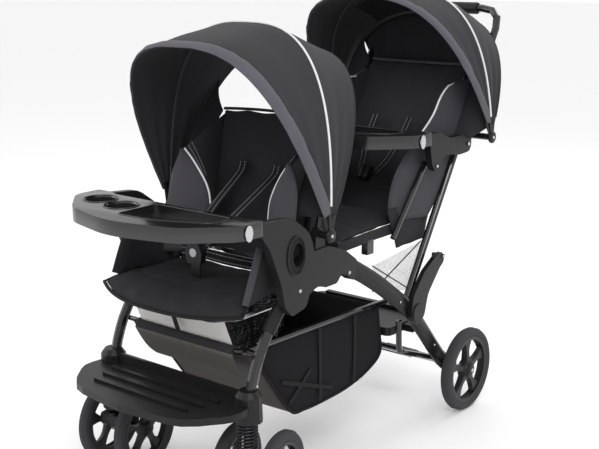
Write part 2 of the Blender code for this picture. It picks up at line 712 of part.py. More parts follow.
def footrest(name):
    """The curved ribbed footrest moulding with the two caster housings at its ends."""
    edge = 0.226
    outline = rounded([
        (-edge, STEER_Y + 0.020, 0.020), (-0.150, STEER_Y + 0.002, 0.060), (0.150, STEER_Y + 0.002, 0.060),
        (edge, STEER_Y + 0.020, 0.020), (edge + 0.010, -0.530, 0.060), (0.165, -0.620, 0.090),
        (0.0, -0.642, 0.200), (-0.165, -0.620, 0.090), (-edge - 0.010, -0.530, 0.060)], 2)
    body = plate(name, [outline], 0.262, 0.278, FLAT_PLANE)
    ribs = []
    for index in range(3):
        y = -0.505 - 0.036 * index
        half = 0.165 - 0.012 * index
        ribs.append(block("rib", (0, y, 0.2795), (2 * half, 0.010, 0.009)))
    apron = plate("apron", [rounded([
        (-0.225, 0.300, 0.015), (0.225, 0.300, 0.015), (0.215, 0.268, 0.010), (-0.215, 0.268, 0.010)])],
        STEER_Y - 0.003, STEER_Y + 0.005, FRONT_PLANE)
    housings = []
    bores = []
    for _, side in SIDES:
        x = side * LEG_X
        housings.append(turned("housing", [
            (0.0, HOUSING_TOP + 0.006), (0.020, HOUSING_TOP + 0.006),
            (HOUSING_R - 0.002, HOUSING_TOP - 0.006),
            (HOUSING_R, HOUSING_LOW), (0.0, HOUSING_LOW)], (x, STEER_Y + 0.004, 0), "Z", 14))
        bores.append(tube("leg_bore", front_leg_points(side, GAP)[3:], FRONT_TUBE + GAP))
        bores.append(rod("strut_bore", (x, STEER_Y, HOUSING_LOW - 0.01), (x, STEER_Y, STRUT_TOP + 0.013),
                         STRUT_R + RUNNING))
    body = join(body, apron, *ribs, *housings)
    return finish(cut(body, *bores), "satin_black")


def spring(name, side):
    """One unbroken wire around the strut, with straight ends that meet its seats."""
    x = side * LEG_X
    top = HOUSING_LOW - GAP - SPRING_WIRE
    low = SPRING_LOW + GAP + SPRING_WIRE
    points = []
    per_curl = 8
    total = SPRING_CURLS * per_curl
    for index in range(total + 1):
        turn = 2 * math.pi * index / per_curl
        height = low + (top - low) * index / total
        points.append(Vector((x + SPRING_R * math.cos(turn), STEER_Y + SPRING_R * math.sin(turn), height)))
    pitch = (top - low) / SPRING_CURLS
    print(name, "least gap between curls", round(pitch - 2 * SPRING_WIRE, 4))
    return finish(tube(name, points, SPRING_WIRE, 1), "bright_steel", 80)


def strut(name, side):
    """The suspension post that slides in the housing, with the spring's lower seat."""
    x = side * LEG_X
    top = STRUT_TOP
    low = 0.1500
    body = turned(name, [
        (0.0, top), (STRUT_R, top), (STRUT_R, SPRING_LOW + 0.001),
        (SPRING_R + 0.005, SPRING_LOW), (SPRING_R + 0.005, SPRING_LOW - 0.005), (STRUT_R + 0.003, low),
        (0.0, low)], (x, STEER_Y, 0), "Z", 14)
    return finish(body, "satin_black")


def fork(name, side):
    """The caster fork: a swivel head over a trailing body that carries the axle of two wheels."""
    x = side * LEG_X
    head = rod(name, (x, STEER_Y, 0.128), (x, STEER_Y, 0.1494), 0.021, 16)
    low = FRONT_WHEEL_R
    outline = rounded([
        (STEER_Y - 0.020, 0.146, 0.006), (STEER_Y - 0.022, 0.120, 0.015),
        (STEER_Y + 0.020, low - 0.016, 0.016),
        (STEER_Y + TRAIL + 0.004, low - 0.018, 0.016), (STEER_Y + TRAIL + 0.018, low + 0.004, 0.016),
        (STEER_Y + TRAIL + 0.004, low + 0.024, 0.016), (STEER_Y + 0.021, 0.146, 0.008)])
    cheek = plate("cheek", [outline], x - 0.026, x + 0.026)
    reach = PAIR_HALF + 0.019
    axle = rod("axle", (x - reach, STEER_Y + TRAIL, low), (x + reach, STEER_Y + TRAIL, low), AXLE_R, 12)
    return finish(join(head, cheek, axle), "satin_black")


# Wheels

def tyre(name, place, radius, width, rim_radius):
    """A solid tyre with a rounded tread and a seat round the rim."""
    half = width / 2
    inner = rim_radius + GAP
    profile = [
        (inner + 0.006, half), (radius - 0.009, half * 0.84), (radius, half * 0.34), (radius, -half * 0.34),
        (radius - 0.009, -half * 0.84), (inner + 0.006, -half), (inner, -half * 0.78), (inner, half * 0.78)]
    return finish(turned(name, profile, place, "X", WHEEL_STEPS), "tyre", 30)


def rim(name, place, rim_radius, width, outward):
    """A five-spoke wheel: a rim ring, spokes with open windows between them and a raised hub."""
    x, y, z = place
    half = width / 2
    star = []
    for index in range(5):
        middle = math.pi / 2 + 2 * math.pi * index / 5
        for radius, spread in ((0.20, -0.55), (0.95, -0.30), (0.95, 0.30)):
            turn = middle + spread
            star.append(Vector((y + rim_radius * radius * math.cos(turn),
                                z + rim_radius * radius * math.sin(turn))))
    web = plate(name, [star], x - half * 0.50, x + half * 0.50)
    ring = turned("ring", [
        (rim_radius, half * 0.78), (rim_radius, -half * 0.78), (rim_radius * 0.915, -half * 0.78),
        (rim_radius * 0.915, half * 0.78)], place, "X", WHEEL_STEPS)
    hub = turned("hub", [
        (rim_radius * 0.20, half * 1.05), (rim_radius * 0.24, -half * 0.95),
        (AXLE_R + RUNNING, -half * 0.95), (AXLE_R + RUNNING, half * 1.05)], place, "X", 12)
    if outward < 0:
        hub.data.transform(Matrix.Translation(place) @ Matrix.Rotation(math.pi, 4, "Z")
                           @ Matrix.Translation(-Vector(place)))
    bore = rod("bore", (x - half * 2, y, z), (x + half * 2, y, z), rim_radius * 0.12)
    return finish(join(cut(web, bore), ring, hub), "rim", 30)


def caster_wheels(label, side):
    """The four pieces of one caster's two wheels, by their place on the axle."""
    groups = []
    for spot, step in (("outer", side), ("inner", -side)):
        place = Vector((side * LEG_X + step * PAIR_HALF, STEER_Y + TRAIL, FRONT_WHEEL_R))
        rim_radius = FRONT_WHEEL_R - 0.024
        groups.append((spot, place, [
            tyre(f"front_tyre_{label}_{spot}", place, FRONT_WHEEL_R, FRONT_TYRE, rim_radius),
            rim(f"front_rim_{label}_{spot}", place, rim_radius, FRONT_TYRE, step)]))
    return groups


# Push frame, handle and rear arms

def push_frame(name):
    """One bent tube from both fold hinges up to the parent handle, with its fold pins."""
    top = PUSH_LENGTH
    side_run = [push_point(-0.010, 0, PUSH_X), push_point(top, 0, PUSH_X)]
    far = [push_point(top, 0, -PUSH_X), push_point(-0.010, 0, -PUSH_X)]
    body = tube(name, route_points(side_run + far, 0.060, 3), PUSH_R)
    extras = []
    for _, side in SIDES:
        extras.append(rod("pin", (side * PUSH_X, FOLD_Y, FOLD_Z),
                          (side * (LEG_X + ARCH_WIDE / 2 + 0.006), FOLD_Y, FOLD_Z), HINGE_PIN, 12))
        extras.append(rod("arm_pin", (side * PUSH_X, *push_point(ARM_ALONG)[1:]),
                          (side * (ARM_X + ARM_PLATE / 2 + 0.003), *push_point(ARM_ALONG)[1:]), HINGE_PIN, 12))
        boss_at = (REAR_CANOPY_Y, REAR_CANOPY_Z)
        boss_end = REAR_CANOPY_HALF - CANOPY_DRAW - CANOPY_CLOTH / 2 - GAP
        bracket = plate("canopy_bracket", [rounded([
            (boss_at[0] + 0.012, boss_at[1] - 0.013, 0.008), (boss_at[0] + 0.013, boss_at[1] + 0.012, 0.010),
            (boss_at[0] - 0.040, boss_at[1] + 0.006, 0.0), (boss_at[0] - 0.047, boss_at[1] - 0.012, 0.0)])],
            side * (PUSH_X + 0.002) - 0.0055, side * (PUSH_X + 0.002) + 0.0055)
        boss = rod("canopy_boss", (side * (PUSH_X + 0.001), *boss_at), (side * boss_end, *boss_at),
                   0.0088, 11)
        extras.append(join(bracket, boss))
    return finish(join(body, *extras), "gloss_black")


def handle_grip(name):
    """The foam grip round the handle's middle."""
    body = tube(name, [push_point(PUSH_LENGTH, 0, x) for x in (-0.112, -0.108, 0.108, 0.112)], GRIP_R)
    bore = tube("bore", [push_point(PUSH_LENGTH, 0, x) for x in (-0.12, 0.12)], PUSH_R + GAP)
    housing = block("housing", push_point(PUSH_LENGTH - 0.029), (0.084, 0.024, 0.032), 0.0,
                    PUSH_ANGLE - math.pi / 2)
    slot = block("slot", push_point(PUSH_LENGTH - 0.035), (0.0556, 0.0152, 0.036), 0.0,
                 PUSH_ANGLE - math.pi / 2)
    return finish(cut(join(body, housing), bore, slot), "foam", 60)


def fold_trigger(name):
    """The squeeze trigger under the handle that lets the frame fold."""
    body = block(name, push_point(PUSH_LENGTH - 0.041), (0.054, 0.014, 0.032), 0.0, PUSH_ANGLE - math.pi / 2)
    return finish(body, "satin_black")


def parent_console(name):
    """The parent tray behind the push frame, with two cup wells."""
    along = PUSH_LENGTH - CONSOLE_BELOW
    centre = push_point(along, -0.052)
    top = centre.z + 0.012
    half = PUSH_X - PUSH_R - GAP
    outline = rounded([
        (-half, centre.y - 0.052, 0.006), (half, centre.y - 0.052, 0.006),
        (half, centre.y + 0.020, 0.030), (0.110, centre.y + 0.052, 0.060),
        (-0.110, centre.y + 0.052, 0.060), (-half, centre.y + 0.020, 0.030)])
    body = plate(name, [outline], top - 0.026, top, FLAT_PLANE)
    wells = []
    cuts = []
    for x in (-0.105, 0.105):
        wells.append(rod("well", (x, centre.y, top - 0.060), (x, centre.y, top - 0.010), 0.036, 14, 0.041))
        cuts.append(rod("cup", (x, centre.y, top - 0.056), (x, centre.y, top + 0.004), 0.033, 14, 0.038))
    cuts.append(block("trough", (0, centre.y, top), (0.108, 0.070, 0.030)))
    clips = [block("clip", push_point(along - 0.008, -PUSH_R - GAP - 0.015, side * (PUSH_X - 0.007)),
                   (0.026, 0.030, 0.024), 0.0, PUSH_ANGLE - math.pi / 2) for _, side in SIDES]
    return finish(cut(join(body, *wells, *clips), *cuts), "satin_black")


def rear_armrest(name, side):
    """The rear armrest plate on the push tube, with a lobe for the post and a tongue for the tray."""
    low, high = span(ARM_X, ARM_PLATE, side)
    hub = push_point(ARM_ALONG)
    front = REAR_TRAY_BACK_Y + 0.0008
    top = REAR_TRAY_TOP_Z - 0.006
    outline = rounded([
        (front, top - 0.030, 0.008), (POST_TOP_Y - 0.022, POST_TOP_Z + 0.004, 0.020),
        (POST_TOP_Y - 0.004, POST_TOP_Z - 0.016, 0.012), (POST_TOP_Y + 0.016, POST_TOP_Z - 0.006, 0.014),
        (POST_TOP_Y + 0.034, POST_TOP_Z + 0.024, 0.030), (hub.y - 0.040, hub.z - 0.024, 0.040),
        (hub.y + 0.012, hub.z - 0.021, 0.018), (hub.y + 0.022, hub.z + 0.014, 0.016),
        (hub.y - 0.030, hub.z + 0.026, 0.030), (POST_TOP_Y + 0.060, hub.z + 0.026, 0.040),
        (POST_TOP_Y + 0.010, top, 0.030), (front, top, 0.004)])
    holes = [outline, circle(hub.y, hub.z, HINGE_PIN + RUNNING, 14),
             circle(POST_TOP_Y, POST_TOP_Z, 0.004 + RUNNING, 12)]
    body = plate(name, holes, low, high)
    tongue = block("tongue", (side * ARM_X, front - TONGUE_LONG / 2 + 0.003, REAR_TRAY_TOP_Z - 0.018),
                   (0.011, TONGUE_LONG + 0.008, TONGUE_HIGH))
    return finish(join(body, tongue), "satin_black")


def post(name, side):
    """The rear seat's side post, pinned to the armrest's lobe."""
    x = side * POST_X
    body = rod(name, (x, POST_LOW_Y, POST_LOW_Z), (x, POST_TOP_Y + 0.004, POST_TOP_Z + 0.005), POST_R, 14)
    pin = rod("pin", (side * POST_X, POST_TOP_Y, POST_TOP_Z),
              (side * (ARM_X + ARM_PLATE / 2 + 0.002), POST_TOP_Y, POST_TOP_Z), 0.004, 12)
    return finish(join(body, pin), "gloss_black")


# Trays

def tray(name, back_y, top, arm_x, half, wells):
    """A curved tray with a rim, a trough, wells and sockets that slip on the armrest tongues."""
    front_y = back_y - TRAY_DEEP
    outline = rounded([
        (-half, back_y, 0.010), (-half + 0.046, back_y, 0.012), (-half + 0.066, back_y - 0.012, 0.030),
        (half - 0.066, back_y - 0.012, 0.030), (half - 0.046, back_y, 0.012), (half, back_y, 0.010),
        (half, back_y - 0.070, 0.060), (half * 0.62, front_y + 0.030, 0.110), (0.0, front_y - 0.010, 0.220),
        (-half * 0.62, front_y + 0.030, 0.110), (-half, back_y - 0.070, 0.060)], 2)
    low = top - TRAY_THICK
    body = plate(name, [outline], low, top, FLAT_PLANE, 0.004)
    cups = []
    cuts = []
    for x, y, depth in wells:
        if depth > TRAY_THICK - 0.004:
            cups.append(rod("cup", (x, back_y + y, top - depth - 0.003), (x, back_y + y, low + 0.004),
                            0.034, 14, 0.037))
        cuts.append(rod("well", (x, back_y + y, top - depth), (x, back_y + y, top + 0.004),
                        0.031, 14, 0.0365))
    trough = rounded([
        (-0.030, back_y - 0.030, 0.014), (half - 0.060, back_y - 0.030, 0.014),
        (half - 0.064, back_y - 0.090, 0.030), (0.070, back_y - 0.140, 0.050),
        (-0.030, back_y - 0.146, 0.014)])
    cuts.append(plate("trough", [trough], top - 0.014, top + 0.01, FLAT_PLANE))
    for _, side in SIDES:
        cuts.append(block("socket", (side * arm_x, back_y - TONGUE_LONG / 2 + 0.001, top - 0.018),
                          (0.011 + 2 * RUNNING, TONGUE_LONG + 0.006, TONGUE_HIGH + 2 * RUNNING)))
        cuts.append(rod("button_seat", (side * (half - 0.0055), back_y - 0.050, top - 0.018),
                        (side * (half + 0.002), back_y - 0.050, top - 0.018), 0.0086, 12))
    return finish(cut(join(body, *cups), *cuts), "satin_black")


def tray_button(name, side, back_y, top, half):
    inner = half - 0.0018
    body = rod(name, (side * inner, back_y - 0.050, top - 0.018),
               (side * (half + 0.0022), back_y - 0.050, top - 0.018), 0.0080, 12, 0.0072)
    return finish(body, "pale_button")


# Canopies, back pads and basket

def hoop_point(centre_y, centre_z, half, angle, reach, turn):
    """A point on a canopy hoop, a rounded arch in a plane through the hinge line."""
    power = 2 / HOOP_ROUND
    across = half * math.copysign(abs(math.cos(turn)) ** power, math.cos(turn))
    out = reach * abs(math.sin(turn)) ** power
    return Vector((across, centre_y + out * math.cos(angle), centre_z + out * math.sin(angle)))


def canopy(name, centre, half, hoops, look):
    """A hood: cloth over three hoops, drawn in between them, given its thickness."""
    rows = 5
    columns = 20
    form = bmesh.new()
    grid = []
    start = 0.0030
    for row in range(rows):
        place = row / (rows - 1) * (len(hoops) - 1)
        index = min(int(place), len(hoops) - 2)
        t = place - index
        angle = math.radians(hoops[index][0] * (1 - t) + hoops[index + 1][0] * t)
        reach = hoops[index][1] * (1 - t) + hoops[index + 1][1] * t
        reach *= 1 + 0.020 * 4 * t * (1 - t)
        line = []
        for column in range(columns + 1):
            turn = start + (math.pi - 2 * start) * column / columns
            drawn = half - CANOPY_DRAW * 4 * t * (1 - t)
            line.append(form.verts.new(hoop_point(*centre, drawn, angle, reach, turn)))
        grid.append(line)
    for near, far in zip(grid, grid[1:]):
        for index in range(columns):
            form.faces.new((near[index], near[index + 1], far[index + 1], far[index]))
    obj = new_form(name, form)
    shell = obj.modifiers.new("cloth", "SOLIDIFY")
    shell.thickness = CANOPY_CLOTH
    shell.offset = 0.0
    shell.use_rim = True
    return finish(bake(obj), look, 60)


def front_recliner(name):
    """The cross rod and its two side arms that carry the front backrest."""
    y, z = FRONT_BACK_HINGE_Y, FRONT_BACK_HINGE_Z
    end = LEG_X - ARCH_WIDE / 2 - GAP
    body = rod(name, (-end, y, z), (end, y, z), BACK_ROD_R, 12)
    up = Vector((math.sin(FRONT_BACK_LEAN), math.cos(FRONT_BACK_LEAN)))
    front = Vector((-up.y, up.x)) * RECLINER_ARM_WIDE / 2
    foot = Vector((y, z))
    outline = [(*(foot + up * along + front * across), radius) for along, across, radius in (
        (-0.018, -1.0, 0.010), (-0.018, 1.0, 0.010), (RECLINER_ARM, 0.7, 0.007), (RECLINER_ARM, -0.7, 0.007))]
    arms = [plate("arm", [rounded(outline)], *span(SEAT_HALF + 0.0045, 0.005, side)) for _, side in SIDES]
    return finish(join(body, *arms), "bright_steel")


def leaning_pad(name, hinge, lean, half, low, length, thick, back, channels):
    """A backrest pad: a cushion stood up against the given lean."""
    obj = cushion(name, half, 0.0, length, 0.0, thick, 0.008, channels=channels)
    stand = Matrix.Translation(hinge) @ Matrix.Rotation(math.pi / 2 - lean, 4, "X")
    obj.data.transform(stand @ Matrix.Translation((0, low, -thick + back)))
    return obj


def front_backrest(name):
    body = leaning_pad(name, (0, FRONT_BACK_HINGE_Y, FRONT_BACK_HINGE_Z), FRONT_BACK_LEAN, SEAT_HALF, 0.040,
                       FRONT_BACK_LONG, FRONT_BACK_THICK, FRONT_BACK_THICK, (0.10,))
    y, z = FRONT_BACK_HINGE_Y, FRONT_BACK_HINGE_Z
    up = Vector((math.sin(FRONT_BACK_LEAN), math.cos(FRONT_BACK_LEAN)))
    front = Vector((-up.y, up.x))
    foot = Vector((y, z))
    outline = [foot - up * 0.010 + front * 0.006, foot - up * 0.010 - front * 0.008,
               foot + up * 0.060 - front * 0.002, foot + up * 0.060 + front * 0.012, foot + front * 0.013]
    for middle in (-0.090, 0.090):
        tab = plate("tab", [outline, circle(y, z, BACK_ROD_R + GAP, 12)], middle - 0.008, middle + 0.008)
        body = join(body, tab)
    return finish(body, "charcoal_cloth", 60)


def rear_back_pad(name):
    hinge = push_point(0.0)
    body = leaning_pad(name, hinge, math.pi / 2 - PUSH_ANGLE, PUSH_X - 0.0012, 0.285, 0.400, REAR_BACK_THICK,
                       REAR_BACK_THICK, (0.10,))
    return finish(body, "charcoal_cloth", 60)


def basket_frame(name):
    """The basket's rectangular rail, hinged on the front legs."""
    corners = [(RAIL_X, RAIL_REAR_Y, 0.352), (RAIL_X, -0.100, 0.361), (RAIL_X, RAIL_FRONT_Y - 0.012, RAIL_Z),
               (RAIL_X - 0.022, RAIL_FRONT_Y - 0.016, RAIL_Z)]
    far = [(-a, b, c) for a, b, c in reversed(corners)]
    body = tube(name, route_points(corners + far, 0.020, 2), RAIL_R)
    ends = [rod("leg_stud", (side * (RAIL_X - 0.004), RAIL_FRONT_Y, RAIL_Z),
                (side * (LEG_X - FRONT_TUBE - GAP), RAIL_FRONT_Y, RAIL_Z), 0.006, 12) for _, side in SIDES]
    return finish(join(body, *ends), "gloss_black")


def basket(name):
    """The sling basket below its rails: a closed cloth shell, open at the top."""
    top = BASKET_TOP_Z
    outline = [(RAIL_FRONT_Y + 0.016, top), (-0.258, 0.170), (-0.160, 0.158), (-0.030, 0.163),
               (0.060, 0.184), (0.112, 0.214), (0.090, top - 0.017)]
    half = RAIL_X - RAIL_R - GAP
    mesh_outline = [Vector(point) for point in outline]
    body = plate(name, [mesh_outline], -half, half)
    inset = BASKET_CLOTH
    middle = Vector((-0.06, 0.25))
    inner = [middle + (point - middle) * (1 - inset / max(0.05, (point - middle).length))
             for point in mesh_outline]
    inner[0].y += 0.02
    inner[-1].y += 0.02
    body = cut(body, plate("inside", [inner], -half + inset, half - inset))
    return finish(body, "basket_cloth", 30)


def front_buckle(name):
    """The front seat's crotch strap and its buckle body."""
    low = BUCKLE_LOW
    strap = block(name, (0, BUCKLE_Y, low + 0.020), (0.026, 0.003, 0.040))
    body = plate("body", [rounded([
        (-0.021, low + 0.032, 0.008), (0.021, low + 0.032, 0.008), (0.025, low + 0.058, 0.008),
        (0.015, low + 0.080, 0.008), (-0.015, low + 0.080, 0.008), (-0.025, low + 0.058, 0.008)])],
        BUCKLE_Y - 0.008, BUCKLE_Y + 0.008, FRONT_PLANE)
    seat = rod("button_seat", (0, BUCKLE_Y - 0.010, low + 0.058), (0, BUCKLE_Y - 0.0035, low + 0.058),
               0.0105, 14)
    return finish(cut(join(strap, body), seat), "satin_black")


def buckle_button(name):
    middle = BUCKLE_LOW + 0.058
    return finish(rod(name, (0, BUCKLE_Y - 0.0095, middle), (0, BUCKLE_Y - 0.0060, middle), 0.0100, 14),
                  "pale_button")


# Assembly

def build_chassis():
    for label, side in SIDES:
        arch(f"arch_{label}", side)
        rear_leg(f"rear_leg_{label}", side)
        hinge_cover(f"hinge_cover_{label}", side)
    rear_frame("rear_frame")
    rear_axle("rear_axle")
    platform("standing_platform")
    front_seat_frame("front_seat_frame")
    front_seat_pad("front_seat_pad")
    rear_seat_frame("rear_seat_frame")
    rear_seat_pad("rear_seat_pad")
    front_buckle("front_buckle")
    attach(pivot("buckle_button_pivot", (0, BUCKLE_Y, BUCKLE_LOW + 0.058)), buckle_button("buckle_button"))
    brake = pivot("brake_pivot", (0, REAR_AXLE_Y, REAR_WHEEL_R))
    attach(brake, brake_bar("brake_bar"))
    for label, side in SIDES:
        place = Vector((side * REAR_WHEEL_X, REAR_AXLE_Y, REAR_WHEEL_R))
        rim_radius = REAR_WHEEL_R - 0.022
        spin = pivot(f"rear_wheel_{label}_pivot", place)
        attach(spin, tyre(f"rear_tyre_{label}", place, REAR_WHEEL_R, REAR_TYRE, rim_radius),
               rim(f"rear_rim_{label}", place, rim_radius, REAR_TYRE, side))


def build_front_frame():
    front = pivot("front_frame_pivot", (0, HINGE_Y, HINGE_Z))
    attach(front, footrest("footrest"))
    for label, side in SIDES:
        attach(front, front_leg(f"front_leg_{label}", side), armrest(f"armrest_{label}", side),
               spring(f"spring_{label}", side))
        x = side * LEG_X
        slide = pivot(f"strut_{label}_pivot", (x, STEER_Y, SPRING_LOW), front)
        attach(slide, strut(f"strut_{label}", side))
        swivel = pivot(f"fork_{label}_pivot", (x, STEER_Y, 0.150), slide)
        pieces = [fork(f"fork_{label}", side)]
        spins = []
        for spot, place, wheel in caster_wheels(label, side):
            spin = pivot(f"front_wheel_{label}_{spot}_pivot", place, swivel)
            attach(spin, *wheel)
            spins.append(spin)
        attach(swivel, *pieces)
        turn = CASTER_LEFT if side > 0 else CASTER_RIGHT
        swivel.rotation_euler.z = math.radians(turn)
    half = FRONT_ARM_X + FRONT_ARM_WIDE / 2 + 0.0065
    tray_pivot = pivot("front_tray_pivot", (0, TRAY_BACK_Y, TRAY_TOP_Z), front)
    wells = ((-0.168, -0.066, 0.040), (-0.084, -0.082, 0.040))
    attach(tray_pivot, tray("front_tray", TRAY_BACK_Y, TRAY_TOP_Z, FRONT_ARM_X, half, wells))
    for label, side in SIDES:
        place = (side * half, TRAY_BACK_Y - 0.050, TRAY_TOP_Z - 0.018)
        press = pivot(f"front_button_{label}_pivot", place, tray_pivot)
        attach(press, tray_button(f"front_tray_button_{label}", side, TRAY_BACK_Y, TRAY_TOP_Z, half))
    return front


def build_push_frame():
    push = pivot("push_frame_pivot", (0, FOLD_Y, FOLD_Z))
    attach(push, push_frame("push_frame"), handle_grip("handle_grip"), parent_console("parent_console"),
           rear_back_pad("rear_back_pad"))
    attach(pivot("fold_trigger_pivot", push_point(PUSH_LENGTH - 0.041), push), fold_trigger("fold_trigger"))
    arms = pivot("rear_arm_pivot", push_point(ARM_ALONG), push)
    half = ARM_X + ARM_PLATE / 2 + 0.0075
    for label, side in SIDES:
        attach(arms, rear_armrest(f"rear_armrest_{label}", side))
        swing = pivot(f"post_{label}_pivot", (side * POST_X, POST_TOP_Y, POST_TOP_Z), arms)
        attach(swing, post(f"post_{label}", side))
    tray_pivot = pivot("rear_tray_pivot", (0, REAR_TRAY_BACK_Y, REAR_TRAY_TOP_Z), arms)
    wells = ((-0.150, -0.066, 0.020), (-0.070, -0.082, 0.020))
    attach(tray_pivot, tray("rear_tray", REAR_TRAY_BACK_Y, REAR_TRAY_TOP_Z, ARM_X, half, wells))
    for label, side in SIDES:
        place = (side * half, REAR_TRAY_BACK_Y - 0.050, REAR_TRAY_TOP_Z - 0.018)
        press = pivot(f"rear_button_{label}_pivot", place, tray_pivot)
        button = tray_button(f"rear_tray_button_{label}", side, REAR_TRAY_BACK_Y, REAR_TRAY_TOP_Z, half)
        attach(press, button)
    hood = pivot("rear_canopy_pivot", (0, REAR_CANOPY_Y, REAR_CANOPY_Z), push)
    attach(hood, canopy("rear_canopy", (REAR_CANOPY_Y, REAR_CANOPY_Z), REAR_CANOPY_HALF,
                        ((124.9, 0.440), (100.4, 0.384), (70.0, 0.330)), "charcoal_cloth"))


def build_soft_goods(front):
    recline = pivot("front_recliner_pivot", (0, FRONT_BACK_HINGE_Y, FRONT_BACK_HINGE_Z))
    attach(recline, front_recliner("front_recliner"))
    back = pivot("front_backrest_pivot", (0, FRONT_BACK_HINGE_Y, FRONT_BACK_HINGE_Z), recline)
    attach(back, front_backrest("front_backrest"))
    hood = pivot("front_canopy_pivot", (0, FRONT_CANOPY_Y, FRONT_CANOPY_Z))
    attach(hood, canopy("front_canopy", (FRONT_CANOPY_Y, FRONT_CANOPY_Z), FRONT_CANOPY_HALF,
                        ((117.2, 0.459), (88.6, 0.451), (63.9, 0.432)), "charcoal_cloth"))
    rail = pivot("basket_frame_pivot", (0, RAIL_FRONT_Y, RAIL_Z), front)
    attach(rail, basket_frame("basket_frame"), basket("basket"))


build_chassis()
front_pivot = build_front_frame()
build_push_frame()
build_soft_goods(front_pivot)
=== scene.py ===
"""Looks of the sit and stand stroller: cloth, harness, wheels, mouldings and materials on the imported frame.

Metres, +Z up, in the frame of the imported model: it faces -Y and the riders' left is +X.
"""

import math

import bmesh
import bpy
from mathutils import Matrix, Vector, noise
from mathutils.kdtree import KDTree


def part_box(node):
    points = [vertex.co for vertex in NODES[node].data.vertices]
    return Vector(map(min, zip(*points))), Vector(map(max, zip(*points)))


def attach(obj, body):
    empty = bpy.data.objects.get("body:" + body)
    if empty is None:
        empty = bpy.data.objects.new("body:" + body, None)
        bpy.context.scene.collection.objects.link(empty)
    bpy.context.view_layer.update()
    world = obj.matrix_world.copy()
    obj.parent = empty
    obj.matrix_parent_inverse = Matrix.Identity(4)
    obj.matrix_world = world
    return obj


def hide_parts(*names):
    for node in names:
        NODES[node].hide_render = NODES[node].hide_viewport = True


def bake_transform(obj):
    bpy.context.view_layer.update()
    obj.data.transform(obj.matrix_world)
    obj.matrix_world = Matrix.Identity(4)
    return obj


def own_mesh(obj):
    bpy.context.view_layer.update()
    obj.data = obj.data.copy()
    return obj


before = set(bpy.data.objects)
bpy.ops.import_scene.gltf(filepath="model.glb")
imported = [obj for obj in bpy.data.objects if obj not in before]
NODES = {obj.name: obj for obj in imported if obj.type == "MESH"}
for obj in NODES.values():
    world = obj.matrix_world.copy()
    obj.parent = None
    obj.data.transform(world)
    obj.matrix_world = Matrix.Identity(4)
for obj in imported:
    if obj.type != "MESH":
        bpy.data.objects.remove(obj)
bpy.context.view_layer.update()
SIDES = (("left", 1), ("right", -1))

# Real sizes shared by several pieces
STEER_Y = -0.4655
CASTER_X = 0.21
FRONT_WHEEL_R = 0.102
REAR_WHEEL_R = 0.1125
FRONT_TRAY = {"back": -0.45, "top": 0.676, "half": 0.24875, "wells": ((-0.168, -0.066), (-0.084, -0.082)),
              "depth": 0.04}
REAR_TRAY = {"back": 0.2235, "top": 0.772, "half": 0.2235, "wells": ((-0.15, -0.066), (-0.07, -0.082)),
             "depth": 0.02}
FRONT_HINGE = Vector((0.0, -0.1875, 0.49))
FRONT_LEAN = math.radians(12.0)
FRONT_UP = Vector((0.0, math.sin(FRONT_LEAN), math.cos(FRONT_LEAN)))
PUSH_FOOT = Vector((0.0, 0.1625, 0.321))
PUSH_ANGLE = math.radians(58.3)
PUSH_UP = Vector((0.0, math.cos(PUSH_ANGLE), math.sin(PUSH_ANGLE)))
FRONT_HOOD = {"y": -0.2275, "z": 0.6, "half": 0.246,
              "hoops": ((117.2, 0.459), (88.6, 0.451), (63.9, 0.432))}
REAR_HOOD = {"y": 0.4575, "z": 0.735, "half": 0.258,
             "hoops": ((124.9, 0.44), (100.4, 0.384), (70.0, 0.33))}
HOOP_ROUND = 2.9
HOOD_START = 0.04  # turn of a hoop at which its cloth ends above the pivot
HOOD_COLUMNS, HOOD_LEVELS = 72, 40
HEM_WIDTH = 0.036
BASKET_HALF = 0.156
PAD_ACROSS, PAD_ALONG = 28, 24
SWELL_CAP = 0.006
SWELL_FRAMES = 12
SEAM_DEPTH, SEAM_WIDTH = 0.0045, 0.006
STITCH_DASH, STITCH_GAP, STITCH_R = 0.0045, 0.0026, 0.0007
STRAP_THICK = 0.0024
WELL_R = 0.0385
EDGE_R = 0.0016
UP = Vector((0, 0, 1))
CAMERA_PLACE = (1.635, -2.068, 1.179)
CAMERA_AZIMUTH, CAMERA_PITCH = math.radians(38.7), math.radians(13.5)
CAMERA_LENS, CAMERA_SENSOR = 65.4, 36.0
FLOOR_HALF = 30.0
WHITE = (1, 1, 1, 1)
FLOOR_COLOUR = (0.97, 0.97, 0.97, 1)

# Name, place, power and size of each lamp
LAMPS = (("key", (2.4, -2.6, 3.2), 55, 1.8), ("fill", (-2.8, -1.6, 2.2), 22, 1.8),
         ("rim", (0.4, 3.0, 3.0), 30, 1.6))
LAMP_TARGET = Vector((0, 0, 0.5))

# Place, end radius and lean of each rivet on the left; the right ones mirror them
RIVETS = (
    ("arch_rivet", (0.222, -0.12, 0.488), "chassis", 0.0042, 0),
    ("armrest_bolt", (0.2423, -0.3265, 0.497), "front_frame", 0.0042, 0),
    ("leg_screw", (0.2222, -0.447, 0.312), "front_frame", 0.003, -0.2),
    ("leg_pin", (0.219, 0.268, 0.203), "chassis", 0.003, 0),
    ("leg_upper_rivet", (0.219, 0.1, 0.362), "chassis", 0.003, 0),
    ("rear_arm_bolt", None, "push_frame", 0.005, 0),
    ("post_bolt", (0.218, 0.257, 0.682), "posts", 0.004, 0),
    ("cover_rivet", (0.2333, 0.275, 0.4455), "chassis", 0.0035, 0),
)

